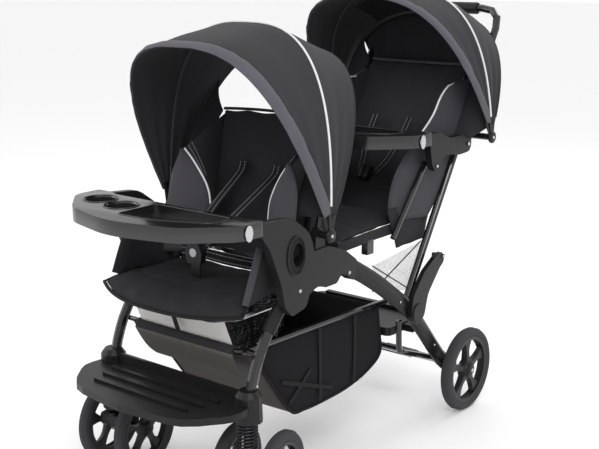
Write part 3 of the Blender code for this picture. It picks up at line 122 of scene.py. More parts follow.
# The finish of each CAD node that stays, by the start of its name
NODE_LOOKS = {
    "moulding": ("arch", "armrest", "hinge_cover", "standing_platform", "front_buckle", "brake_bar",
                 "footrest", "strut", "fork", "parent_console", "fold_trigger", "rear_armrest",
                 "front_recliner"),
    "leg_tube": ("rear_leg",),
    "gloss_tube": ("rear_frame", "rear_seat_frame", "front_leg", "push_frame", "post", "basket_frame"),
    "bright_steel": ("rear_axle", "front_seat_frame"),
    "button": ("buckle_button", "front_tray_button", "rear_tray_button"),
    "foam": ("handle_grip",),
}


def shares(count):
    """Even steps from 0 to 1."""
    return [k / count for k in range(count + 1)]


def spread(count):
    """Even steps from -1 to 1."""
    return [(2 * k - count) / count for k in range(count + 1)]


def arc(t):
    """Rises from 0 to 1 and falls back to 0 as t goes from 0 to 1."""
    return math.sin(math.pi * t)


def mirrored(points, side):
    """Points of the left side, or their mirror images for the right side (-1)."""
    return [Vector(point) * Vector((side, 1, 1)) for point in points]


def on_panel(foot, up, along, ahead, across):
    """A point on a panel that rises from its foot, with ahead measured off its front face."""
    return foot + up * along + Vector((0.0, -up.z, up.y)) * ahead + Vector((across, 0.0, 0.0))


def back_place(height, ahead=0.0, across=0.0):
    """A point on the front backrest's plane."""
    return on_panel(FRONT_HINGE, FRONT_UP, height, ahead, across)


def push_place(along, ahead=0.0, across=0.0):
    """A point on the plane of the push frame's tubes."""
    return on_panel(PUSH_FOOT, PUSH_UP, along, ahead, across)


def fold_squash(anchor, keep, axis=(0, 0, 1)):
    """How a soft piece gives way as the frame folds."""
    return "frame_fold", axis, anchor, keep


REAR_SQUASH = fold_squash(push_place(0.4), 0.3, push_place(0.0, 1.0) - push_place(0.0))


# Materials

def settle(thing, **settings):
    """Set several attributes at once."""
    for key, value in settings.items():
        setattr(thing, key, value)
    return thing


def wire(tree, node, values):
    """Set a node's inputs, by name or number: an output is linked, anything else is the input's value."""
    for key, value in values.items():
        if isinstance(value, bpy.types.NodeSocket):
            tree.links.new(value, node.inputs[key])
        else:
            node.inputs[key].default_value = value
    return node


def add_node(tree, kind, values, **settings):
    return wire(tree, settle(tree.nodes.new("ShaderNode" + kind), **settings), values)


def shade(colour, factor):
    return tuple(min(1.0, channel * factor) for channel in colour) + (1.0,)


def finish_material(name, colour, rough, metallic=0.0, mottle=(6.0, 0.12), grain=(900.0, 0.03, 0.0006),
                    rough_span=0.06, weave=None, sheen=0.0, coat=0.0, net=None, gleam=0.5):
    """A procedural finish: mottled colour, grain or weave in the bump, and uneven gloss."""
    made = bpy.data.materials.new(name)
    made.use_nodes = True
    tree = made.node_tree
    shader = tree.nodes["Principled BSDF"]
    place = add_node(tree, "TexCoord", {}).outputs["Object"]
    clouds = add_node(tree, "TexNoise", {"Vector": place, "Scale": mottle[0], "Detail": 4.0}).outputs["Fac"]
    tint = add_node(tree, "Mix", {0: clouds, 6: shade(colour, 1 - mottle[1]),
                                  7: shade(colour, 1 + mottle[1])}, data_type="RGBA").outputs[2]
    if weave:
        height = add_node(tree, "TexVoronoi", {"Vector": place, "Scale": weave}).outputs["Distance"]
        gap = add_node(tree, "MapRange", {"Value": height, "From Min": 0.2, "From Max": 0.8, "To Max": 0.6})
        tint = add_node(tree, "Mix", {0: gap.outputs["Result"], 6: tint, 7: shade(colour, 0.45)},
                        data_type="RGBA").outputs[2]
    else:
        fine = add_node(tree, "TexNoise", {"Vector": place, "Scale": grain[0], "Detail": 2.0})
        height = fine.outputs["Fac"]
    bump = add_node(tree, "Bump", {"Height": height, "Strength": min(1.0, grain[1] * 10),
                                   "Distance": grain[2]})
    gloss = add_node(tree, "MapRange", {"Value": clouds, "To Min": max(0.02, rough - rough_span),
                                        "To Max": min(1.0, rough + rough_span)})
    wire(tree, shader, {"Base Color": tint, "Normal": bump.outputs["Normal"], "Metallic": metallic,
                        "Roughness": gloss.outputs["Result"], "Specular IOR Level": gleam,
                        "Sheen Weight": sheen, "Sheen Roughness": 0.5, "Coat Weight": coat,
                        "Coat Roughness": 0.08})
    if net:
        cells = add_node(tree, "TexVoronoi", {"Vector": place, "Scale": net[0]}, feature="DISTANCE_TO_EDGE")
        hole = add_node(tree, "Math", {0: cells.outputs["Distance"], 1: net[1]}, operation="LESS_THAN")
        wire(tree, shader, {"Alpha": hole.outputs["Value"]})
    return made


WOVEN = dict(weave=900.0, grain=(900.0, 0.05, 0.0005), gleam=0.25)
LOOKS = {name: finish_material(name, **facts) for name, facts in {
    "moulding": dict(colour=(0.01, 0.01, 0.011), rough=0.36, gleam=0.28, grain=(1400.0, 0.03, 0.0004)),
    # the trays' colour is a little lighter than the moulding's: a painted highlight for their glossy fronts,
    # on top of their real gloss
    "tray_gloss_painted_highlight": dict(colour=(0.014, 0.014, 0.015), rough=0.2, gleam=0.75, grain=(1800.0, 0.01, 0.0002)),
    "gloss_tube": dict(colour=(0.008, 0.008, 0.009), rough=0.12, coat=0.5, rough_span=0.04,
                       grain=(300.0, 0.01, 0.0002)),
    "leg_tube": dict(colour=(0.01, 0.01, 0.011), rough=0.3, gleam=0.22, grain=(700.0, 0.02, 0.0003)),
    "bright_steel": dict(colour=(0.62, 0.62, 0.64), rough=0.22, metallic=1.0),
    "dark_steel": dict(colour=(0.045, 0.045, 0.048), rough=0.25, metallic=0.8),
    "tyre": dict(colour=(0.048, 0.048, 0.051), rough=0.78, gleam=0.25, grain=(420.0, 0.1, 0.001)),
    "wheel_plastic": dict(colour=(0.02, 0.02, 0.022), rough=0.42, gleam=0.35),
    "button": dict(colour=(0.55, 0.55, 0.58), rough=0.35),
    "seat_cloth": dict(colour=(0.03, 0.029, 0.033), rough=0.86, mottle=(9.0, 0.2), weave=850.0, sheen=0.03,
                       grain=(850.0, 0.05, 0.0006), gleam=0.25),
    "hood_cloth": dict(WOVEN, colour=(0.036, 0.034, 0.038), rough=0.78, mottle=(7.0, 0.22), sheen=0.04,
                       gleam=0.3),
    "hem_cloth": dict(WOVEN, colour=(0.12, 0.114, 0.136), rough=0.78, mottle=(14.0, 0.18), sheen=0.05),
    "wing_cloth": dict(WOVEN, colour=(0.068, 0.065, 0.075), rough=0.8, mottle=(12.0, 0.18), sheen=0.05),
    "basket_cloth": dict(WOVEN, colour=(0.125, 0.117, 0.108), rough=0.85, mottle=(10.0, 0.15)),
    "webbing": dict(colour=(0.012, 0.012, 0.013), rough=0.72, weave=1300.0, grain=(1300.0, 0.08, 0.0006),
                    gleam=0.25),
    "white_piping": dict(colour=(0.8, 0.8, 0.8), rough=0.6, mottle=(60.0, 0.06)),
    "grey_stitch": dict(colour=(0.36, 0.36, 0.38), rough=0.7),
    "foam": dict(colour=(0.013, 0.013, 0.014), rough=0.75, grain=(600.0, 0.1, 0.0008)),
    "pale_net": dict(colour=(0.4, 0.4, 0.4), rough=0.8, net=(900.0, 0.1), gleam=0.2),
    "pale_cloth": dict(colour=(0.78, 0.77, 0.75), rough=0.85, mottle=(9.0, 0.1), weave=900.0, gleam=0.2),
    "dark_net": dict(colour=(0.014, 0.014, 0.016), rough=0.8, net=(420.0, 0.4), gleam=0.1),
    "window": dict(colour=(0.02, 0.02, 0.022), rough=0.15, coat=0.4),
}.items()}


# Mesh helpers

def add_object(name, data):
    obj = bpy.data.objects.new(name, data)
    bpy.context.scene.collection.objects.link(obj)
    return obj


def smooth_off(obj, angle=35.0):
    obj.data.shade_smooth()
    obj.data.set_sharp_from_angle(angle=math.radians(angle))
    return obj


def make_mesh(name, points, faces, look, angle=40.0):
    mesh = bpy.data.meshes.new(name)
    mesh.from_pydata([tuple(point) for point in points], [], faces)
    mesh.validate()
    mesh.materials.append(LOOKS[look])
    return smooth_off(add_object(name, mesh), angle)


def baked(obj):
    """A new mesh of the object as its modifiers or its curve leave it."""
    graph = bpy.context.evaluated_depsgraph_get()
    graph.update()
    return bpy.data.meshes.new_from_object(obj.evaluated_get(graph), depsgraph=graph)


def modified(obj, kind, **settings):
    """Run one modifier on the object and keep its mesh."""
    settle(obj.modifiers.new("step", kind), **settings)
    mesh = baked(obj)
    obj.modifiers.clear()
    obj.data = mesh
    return obj


def put(obj, body, squash=None, replaces=()):
    """Hang a piece on a body and hide the nodes it stands for; a piece given a joint to give way to gets a
    mesh of its own.
    """
    if squash:
        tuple(squash[1])
        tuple(squash[2])
        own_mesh(obj)
    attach(obj, body)
    if replaces:
        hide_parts(*replaces)


def outward_normals(obj):
    form = bmesh.new()
    form.from_mesh(obj.data)
    bmesh.ops.recalc_face_normals(form, faces=form.faces)
    form.to_mesh(obj.data)
    form.free()
    return obj


def length_of(line):
    return sum((b - a).length for a, b in zip(line, line[1:]))


def spline(points, steps=8):
    """A smooth line through the given points."""
    places = [Vector(point) for point in points]
    places = [places[0] * 2 - places[1], *places, places[-1] * 2 - places[-2]]
    line = []
    for a, b, c, d in zip(places, places[1:], places[2:], places[3:]):
        for step in range(steps):
            t = step / steps
            line.append(0.5 * (2 * b + (c - a) * t + (2 * a - 5 * b + 4 * c - d) * t * t
                               + (3 * b - a - 3 * c + d) * t ** 3))
    line.append(places[-2])
    return line


def even(points, step):
    """The same line with points at an even spacing."""
    points = [Vector(point) for point in points]
    lengths = [0.0]
    for a, b in zip(points, points[1:]):
        lengths.append(lengths[-1] + (b - a).length)
    count = max(2, round(lengths[-1] / step))
    line = []
    index = 0
    for number in range(count + 1):
        want = lengths[-1] * number / count
        while index < len(points) - 2 and lengths[index + 1] < want:
            index += 1
        reach = max(lengths[index + 1] - lengths[index], 1e-9)
        line.append(points[index].lerp(points[index + 1], (want - lengths[index]) / reach))
    return line


def grid_faces(rows, count, closed=False, looped=False):
    """Quads over a grid: closed joins the ends of each row, looped the last row to the first."""
    faces = []
    for row in range(rows if looped else rows - 1):
        here = row * count
        there = (row + 1) % rows * count
        for k in range(count if closed else count - 1):
            after = (k + 1) % count
            faces.append((here + k, here + after, there + after, there + k))
    return faces


def heading(points, index):
    """The direction of a line at one of its points."""
    return (points[min(index + 1, len(points) - 1)] - points[max(index - 1, 0)]).normalized()


def framed(points, across):
    """Each point of a line with its side, as near to across as it can be, and its up direction."""
    across = Vector(across).normalized()
    for index, point in enumerate(points):
        ahead = heading(points, index)
        side = (across - ahead * across.dot(ahead)).normalized()
        yield point, side, side.cross(ahead)


def tube(name, points, radius, look, sides=8):
    """A round tube with closed ends; the radius may be one number or one for each point."""
    points = [Vector(point) for point in points]
    radii = radius if isinstance(radius, (list, tuple)) else [radius] * len(points)
    verts = []
    side = heading(points, 0).orthogonal().normalized()
    for index, point in enumerate(points):
        ahead = heading(points, index)
        side = (side - ahead * side.dot(ahead)).normalized()
        up = ahead.cross(side)
        for corner in range(sides):
            turn = 2 * math.pi * corner / sides
            verts.append(point + (side * math.cos(turn) + up * math.sin(turn)) * radii[index])
    faces = grid_faces(len(points), sides, closed=True)
    faces += [tuple(reversed(range(sides))), tuple(range(len(verts) - sides, len(verts)))]
    return make_mesh(name, verts, faces, look, angle=60.0)


def turned(name, place, axis, profile, look, sides=24):
    """A turned solid: the distance along its axis and the radius of each ring."""
    return tube(name, [Vector(place) + axis * step for step, _ in profile], [radius for _, radius in profile],
                look, sides)


def loft(name, verts, count, look, angle=40.0):
    """A closed solid through rings of count points each."""
    faces = grid_faces(len(verts) // count, count, closed=True)
    faces += [tuple(range(count)), tuple(range(len(verts) - count, len(verts)))]
    return outward_normals(make_mesh(name, verts, faces, look, angle))


def merged(name, pieces, look):
    """Several meshes as one piece."""
    form = bmesh.new()
    for piece in pieces:
        form.from_mesh(piece.data)
        bpy.data.objects.remove(piece, do_unlink=True)
    mesh = bpy.data.meshes.new(name)
    form.to_mesh(mesh)
    form.free()
    mesh.materials.clear()
    mesh.materials.append(LOOKS[look])
    return add_object(name, mesh)


def stitches(name, points):
    """A row of sewn stitches along a line."""
    line = even(points, STITCH_DASH + STITCH_GAP)
    share = STITCH_DASH / (STITCH_DASH + STITCH_GAP)
    look = "grey_stitch"
    return merged(name, [tube("stitch", [a, a.lerp(b, share)], STITCH_R, look, 5)
                         for a, b in zip(line, line[1:])], look)


def ribbon(name, points, across, width, thick=STRAP_THICK, look="webbing"):
    """Flat webbing along a line, with its width along the given direction."""
    profile = ((-0.5, -0.5), (-0.42, 0.5), (0.42, 0.5), (0.5, -0.5))
    verts = [point + side * width * a + up * thick * b
             for point, side, up in framed(even(points, 0.008), across) for a, b in profile]
    return loft(name, verts, len(profile), look)


def sheet_facts(rows):
    """The flat size of a grid of points: width, length and area."""
    area = 0.0
    for near, far in zip(rows, rows[1:]):
        for index in range(len(near) - 1):
            area += ((near[index + 1] - near[index]).cross(far[index] - near[index])).length / 2
            area += ((far[index + 1] - near[index + 1]).cross(far[index + 1] - far[index])).length / 2
    return max(map(length_of, rows)), max(map(length_of, zip(*rows))), area


def cloth_sheet(name, rows, look, thick=0.0016, other=None, pick=None):
    """A grid of points as one curved sheet of cloth; pick says which faces have the other look."""
    count = len(rows[0])
    verts = [point for row in rows for point in row]
    obj = make_mesh(name, verts, grid_faces(len(rows), count), look, angle=70.0)
    if other:
        obj.data.materials.append(LOOKS[other])
        for number, face in enumerate(obj.data.polygons):
            face.material_index = pick(number // (count - 1), number % (count - 1))
    if thick:
        modified(obj, "SOLIDIFY", thickness=thick, offset=0.0)
    width, length, area = sheet_facts(rows)
    area = max(min(area, width * length), 0.3 * width * length)
    return obj


# Cushions

def cushion(name, place, thick):
    """A closed pad whose top and bottom meet at its edge; place gives a point and its normal."""
    spots = [(row, column) for row in range(PAD_ALONG + 1) for column in range(PAD_ACROSS + 1)]
    rim = [(row, column) for row, column in spots if row in (0, PAD_ALONG) or column in (0, PAD_ACROSS)]
    verts = []
    faces = []
    index = {}
    for layer in (1, -1):
        for row, column in spots:
            on_rim = (row, column) in rim
            if on_rim and layer < 0:
                index[layer, row, column] = index[1, row, column]
                continue
            a = 2 * column / PAD_ACROSS - 1
            b = 2 * row / PAD_ALONG - 1
            puff = max(0.0, 1 - abs(a) ** 7.0) * max(0.0, 1 - abs(b) ** 9.0)
            point, normal = place(a, (b + 1) / 2)
            index[layer, row, column] = len(verts)
            verts.append(point + normal * (0.0 if on_rim else layer * thick / 2 * puff ** 0.45))
    for layer in (1, -1):
        faces += [tuple(index[layer, row + up, column + on] for up, on in ((0, 0), (0, 1), (1, 1), (1, 0)))
                  for row, column in spots if row < PAD_ALONG and column < PAD_ACROSS]
    pad = outward_normals(make_mesh(name, verts, faces, "seat_cloth"))
    pad.vertex_groups.new(name="rim").add([index[1, row, column] for row, column in rim], 1.0, "REPLACE")
    return pad


def inflate(obj):
    """Let the pad swell as stuffed cloth does, no point moving further than the cap."""
    before = [vert.co.copy() for vert in obj.data.vertices]
    cloth = obj.modifiers.new("swell", "CLOTH")
    settle(cloth.settings, quality=3, vertex_group_mass="rim", use_pressure=True, uniform_pressure_force=4.0)
    cloth.settings.effector_weights.gravity = 0.0
    settle(cloth.point_cache, frame_start=1, frame_end=SWELL_FRAMES)
    scene = bpy.context.scene
    for number in range(1, SWELL_FRAMES + 1):
        scene.frame_set(number)
    graph = bpy.context.evaluated_depsgraph_get()
    after = [vert.co.copy() for vert in obj.evaluated_get(graph).data.vertices]
    obj.modifiers.clear()
    scene.frame_set(1)
    for vert, start, end in zip(obj.data.vertices, before, after):
        move = end - start
        vert.co = start + (move if move.length <= SWELL_CAP else move.normalized() * SWELL_CAP)
    modified(obj, "SUBSURF", levels=1, render_levels=1)
    obj.data.shade_smooth()
    return obj


def sew(obj, seams):
    """Draw the cloth in along sewn seams: (line, depth, width) each."""
    normals = [vert.normal.copy() for vert in obj.data.vertices]
    moves = [0.0] * len(obj.data.vertices)
    for line, depth, width in seams:
        points = even(line, width / 3)
        tree = KDTree(len(points))
        for number, point in enumerate(points):
            tree.insert(point, number)
        tree.balance()
        for number, vert in enumerate(obj.data.vertices):
            distance = tree.find(vert.co)[2]
            if distance < width * 3:
                moves[number] = max(moves[number], depth * math.exp(-(distance / width) ** 2))
    for vert, normal, move in zip(obj.data.vertices, normals, moves):
        vert.co = vert.co - normal * move


def crumple(obj, depth, size, seed):
    """Soft uneven folds over the cloth."""
    for vert in obj.data.vertices:
        where = vert.co / size + Vector((seed, seed * 0.7, seed * 1.3))
        vert.co = vert.co + vert.normal * depth * noise.noise(where)
    return obj


def pad(name, place, thick, seams, folds, stuffing, body, node, squash=None):
    """A padded piece: swollen, sewn, creased and hung on its body in place of its CAD node."""
    piece = inflate(cushion(name, place, thick))
    sew(piece, seams)
    crumple(piece, *folds)
    put(piece, body, squash=squash, replaces=(node,))


def cross_seam(place, b, lift):
    """A sewn channel across a seat pad."""
    return [place(a, b)[0] + UP * lift for a in spread(12)[1:-1]], 0.004, SEAM_WIDTH


def top_edge(place, count):
    """The line along the far edge of a pad."""
    return [place(2 * t - 1, 1.0)[0] for t in shares(count)]


# Canopies

def hoop_place(hood, u, turn, out=0.0):
    """A point on the hood: u runs from the front hoop (0) over the middle one (1) to the back one (2)."""
    hoops = hood["hoops"]
    index = min(int(u), 1)
    t = u - index
    angle = math.radians(hoops[index][0] * (1 - t) + hoops[index + 1][0] * t)
    reach = hoops[index][1] * (1 - t) + hoops[index + 1][1] * t
    draw = 4 * t * (1 - t)
    reach *= 1 - 0.022 * draw
    half = hood["half"] - 0.004 * draw + out
    power = 2 / HOOP_ROUND
    across = half * math.copysign(abs(math.cos(turn)) ** power, math.cos(turn))
    away = (reach + out) * abs(math.sin(turn)) ** power
    return Vector((across, hood["y"] + away * math.cos(angle), hood["z"] + away * math.sin(angle)))


def hoop_turns(count):
    """Turn values along a hoop, closer together near the pivots."""
    turns = []
    for t in shares(count):
        eased = t - math.sin(2 * math.pi * t) / (2 * math.pi) * 0.75
        turns.append(HOOD_START + (math.pi - 2 * HOOD_START) * eased)
    return turns


def hood_ripple(u, turn, seed):
    """Pull lines that fan out from the pivots, and a soft sag in the top."""
    near_side = math.exp(-(math.sin(turn) / 0.55) ** 2)
    fan = math.sin(u * 17.0 + seed) * 0.0016 * near_side
    return fan + 0.0022 * noise.noise(Vector((u * 2.2, turn * 2.5, seed)))


def canopy(label, hood, body, base, window=False):
    """One hood: its cloth, front hem, piping, seams and pivot caps."""
    turns = hoop_turns(HOOD_COLUMNS)
    rows = []
    for u in [2 * t for t in shares(HOOD_LEVELS)]:
        still = min(1.0, 6 * abs(u - 1)) * min(1.0, 6 * u) * min(1.0, 6 * (2 - u))
        rows.append([hoop_place(hood, u, turn, hood_ripple(u, turn, len(label)) * still) for turn in turns])

    def pick(row, column):
        across = turns[column] / math.pi
        return 1 if window and 23 <= row < 38 and 0.33 < across < 0.67 else 0

    squash = fold_squash((0, hood["y"], hood["z"]), 0.24)
    cloth = cloth_sheet(f"{label}_canopy_cloth", rows, "hood_cloth", 0.0018, "window", pick)
    put(cloth, body, squash=squash, replaces=(body,))
    band = []
    for turn in turns:
        length = (hoop_place(hood, 0.35, turn) - hoop_place(hood, 0.0, turn)).length / 0.35
        band.append((turn, min(0.95, HEM_WIDTH / max(length, 1e-4))))
    strips = [[hoop_place(hood, 0.1 * reach, turn, -0.0014) for turn, reach in band]]
    for t in shares(8):
        strips.append([])
        for turn, reach in band:
            puff = 0.0012 + 0.0046 * arc(t) ** 0.6
            puff += 0.0022 * noise.noise(Vector((turn * 11.0, t * 1.2, 3.0)))
            strips[-1].append(hoop_place(hood, t * reach, turn, puff))
    put(cloth_sheet(f"{label}_canopy_hem", strips, "hem_cloth", 0.0012), body, squash=squash)
    seam = [hoop_place(hood, reach * 1.04, turn, 0.0012) for turn, reach in band[1:-1]]
    put(tube(f"{label}_canopy_seam", seam, 0.0011, "moulding", 6), body, squash=squash)
    for part, u, out, left_off, radius, look, slot in (
            ("piping", 1.0, 0.0016, 2, 0.0027, "white_piping", "button"),
            ("back_edge", 2.0, 0.0, 3, 0.0024, "hood_cloth", "seat_cloth"),
            ("hoop", 1.0, -0.003, 6, 0.0032, "wing_cloth", "seat_cloth")):
        line = [hoop_place(hood, u, turn, out) for turn in turns[left_off:-left_off]]
        put(tube(f"{label}_canopy_{part}", line, radius, look), body, squash)
    drop_panels(label, hood, base, squash)
    for name, side in SIDES:
        pivot = Vector((side * (hood["half"] + 0.001), hood["y"], hood["z"]))
        outward = Vector((side, 0, 0))
        cap = turned(f"{label}_canopy_cap_{name}", pivot, outward,
                     ((-0.003, 0.015), (0, 0.016), (0.004, 0.015), (0.0055, 0.0115)), "moulding")
        put(cap, body)
        rivet(f"{label}_canopy_rivet_{name}", pivot + outward * 0.0055, outward, body)
        for number, (u, width) in enumerate(((0.45, 0.022), (1.0, 0.012), (1.9, 0.012))):
            turn = HOOD_START * 1.6
            end = hoop_place(hood, u, turn if side > 0 else math.pi - turn, -0.003)
            line = [pivot.lerp(end, t) for t in shares(5)]
            link = ribbon(f"{label}_canopy_link_{name}_{number}", line, outward.cross(end - pivot), width,
                          0.003, "moulding")
            put(link, body)


def drop_panels(label, hood, base, squash):
    """The cloth that hangs from the back hoop: a flap at each side, and a back panel at the rear."""
    for name, side in SIDES:
        rows = []
        for t in shares(16):
            turn = math.radians(2 + 42 * t)
            high = hoop_place(hood, 1.86, turn if side > 0 else math.pi - turn, -0.005)
            if label == "front":
                low = Vector((side * (0.172 - 0.018 * t), -0.262 + 0.132 * t, 0.64 + 0.192 * t ** 0.8))
            else:
                low = push_place(0.44 + 0.25 * t, 0.024 - 0.01 * t, side * 0.174)
            rows.append([high.lerp(low, s) + Vector((side, 0, 0)) * 0.01 * arc(s) for s in shares(8)])
        flap = cloth_sheet(f"{label}_side_flap_{name}", rows, "seat_cloth", 0.0014)
        put(crumple(flap, 0.002, 0.05, 8.0), base, squash=squash)
    if label == "rear":
        rows = []
        for t in shares(24):
            high = hoop_place(hood, 1.98, math.radians(40 + 100 * t), -0.003)
            low = push_place(0.69, -0.012, 0.172 * math.cos(math.pi * t))
            fold = 0.006 * math.sin(t * 31.2)
            rows.append([high.lerp(low, s) + Vector((0, fold * arc(s), 0)) for s in shares(8)])
        panel = cloth_sheet("rear_drop_panel", rows, "seat_cloth", 0.0014)
        hoop_place(hood, 1.98, math.radians(40))
        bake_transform(panel)


def rivet(name, place, axis, body, radius=0.0042):
    """A bright domed rivet head."""
    profile = ((0, radius), (0.0006, radius), (0.0016, radius * 0.75), (0.0022, radius * 0.2))
    head = turned(name, place, Vector(axis).normalized(), profile, "bright_steel", 16)
    put(head, body)


# Front seat

def front_seat():
    """The seat pad with its wide crescent lip and its piped edge."""
    def place(a, b):
        half = 0.155 + 0.057 * b ** 2.2
        front = -0.536 + 0.058 * abs(a) ** 2.2
        y = -0.242 + (front + 0.242) * b
        z = 0.483 - 0.023 * b ** 5 + 0.01 * abs(a) ** 4
        return Vector((a * half, y, z)), UP

    pad("front_seat_cushion", place, 0.026, [cross_seam(place, b, 0.014) for b in (0.32, 0.72)],
        (0.0035, 0.045, 1.0), 0.35, "chassis", "front_seat_pad")
    put(tube("front_seat_piping", top_edge(place, 40), 0.0042, "webbing"), "chassis")
    for name, side in SIDES:
        rim = [place(side, t)[0] for t in shares(12)]
        put(tube(f"front_seat_edge_{name}", rim, 0.0028, "webbing"), "chassis")


def front_back():
    """The front backrest's padded panel, with its quilting and top hem."""
    def place(a, b):
        half = 0.15 + 0.004 * arc(b)
        height = 0.014 + 0.338 * b + 0.006 * (1 - a * a) * b ** 4
        return (back_place(height, 0.016 - 0.004 * (1 - a * a), a * half),
                back_place(1.0, 1.0) - back_place(1.0))

    seams = [([back_place(height, 0.03, x * 0.14) for x in spread(20)], SEAM_DEPTH, SEAM_WIDTH)
             for height in (0.105, 0.185, 0.255)]
    seams += [([back_place(0.03 + 0.3 * t, 0.03, x) for t in shares(10)], SEAM_DEPTH, 0.005)
              for x in (-0.118, 0.118)]
    pad("front_back_cushion", place, 0.024, seams, (0.004, 0.05, 4.0), 0.4, "front_backrest",
        "front_backrest")
    put(tube("front_back_top_hem", top_edge(place, 24), 0.0036, "seat_cloth"), "front_backrest")


def side_wings(label, body, outer, ridge, rear, piped_from, squash):
    """Both side bolsters of a seat: grey outer panel, piped ridge, stitched border and dark inner wing."""
    for name, side in SIDES:
        lines = [mirrored(spline(line), side) for line in (outer, ridge, rear)]
        out, top, back = [even(line, length_of(line) / 24) for line in lines]
        for part, near, far, look, seed, bulge in (
                ("side_panel", out, top, "wing_cloth", 2.0, lambda t: (0, -0.012 * arc(t), 0)),
                ("inner_wing", top, back, "seat_cloth", 6.0,
                 lambda t: (side * 0.01 * arc(t) * 0.4, 0.01 * arc(t) * 0.3, 0))):
            rows = [[a.lerp(b, t) + Vector(bulge(t)) for a, b in zip(near, far)] for t in shares(8)]
            piece = crumple(cloth_sheet(f"{label}_{part}_{name}", rows, look), 0.0016, 0.04, seed)
            put(piece, body, squash=squash)
        piped = [point for point in top if point.z > piped_from]
        put(tube(f"{label}_wing_piping_{name}", piped, 0.0024, "white_piping"), body, squash)
        put(tube(f"{label}_wing_roll_{name}", top, 0.0022, "wing_cloth"), body, squash=squash)
        for number, t in enumerate((0.1, 0.18)):
            line = [a.lerp(b, t) + Vector((0, -0.0035, 0.001)) for a, b in zip(top, back)]
            put(stitches(f"{label}_wing_stitch_{name}_{number}", line), body, squash)


# Harness

def strap(name, points, across, width, body, squash=None):
    """Webbing with a row of pale stitches along both edges."""
    line = spline(points)
    put(ribbon(name, line, across, width), body, squash=squash)
    for number, edge in enumerate((-0.26, 0.26)):
        row = [point + side * width * edge + (-up if up.y > 0 else up) * 0.0016
               for point, side, up in framed(line, across)]
        put(stitches(f"{name}_stitch_{number}", row), body, squash)


def front_harness():
    """The front seat's shoulder and lap straps, and the gussets that join the pad to the armrests."""
    squash = fold_squash((0, -0.15, 0.6), 0.3, (0, 1, 0))
    for name, side in SIDES:
        strap(f"front_shoulder_strap_{name}", mirrored([
            back_place(0.232, 0.036, 0.052), back_place(0.205, 0.046, 0.05), (0.04, -0.29, 0.64),
            (0.026, -0.366, 0.59), (0.018, -0.384, 0.572)], side), (1, 0, 0), 0.026, "front_backrest",
            squash)
        strap(f"front_lap_strap_{name}", mirrored([
            (0.026, -0.388, 0.556), (0.07, -0.365, 0.545), (0.115, -0.31, 0.527), (0.14, -0.255, 0.52)],
            side), UP, 0.024, "chassis")
        low_front, low_back = mirrored([(0.196, -0.452, 0.48), (0.16, -0.3, 0.48)], side)
        gusset = [[low_front.lerp(low_back, t).lerp(
            Vector((side * 0.194, -0.405 + 0.1 * t, 0.6)), s * 0.96) for t in shares(8)]
            for s in shares(8)]
        put(cloth_sheet(f"front_gusset_{name}", gusset, "seat_cloth"), "chassis")
        line = spline(mirrored(
            [(0.199, -0.455, 0.487), (0.199, -0.432, 0.54), (0.197, -0.405, 0.6)], side), 6)
        put(ribbon(f"front_gusset_strap_{name}", line, (0, 1, 0.5), 0.022, look="wing_cloth"), "chassis")


# Rear seat

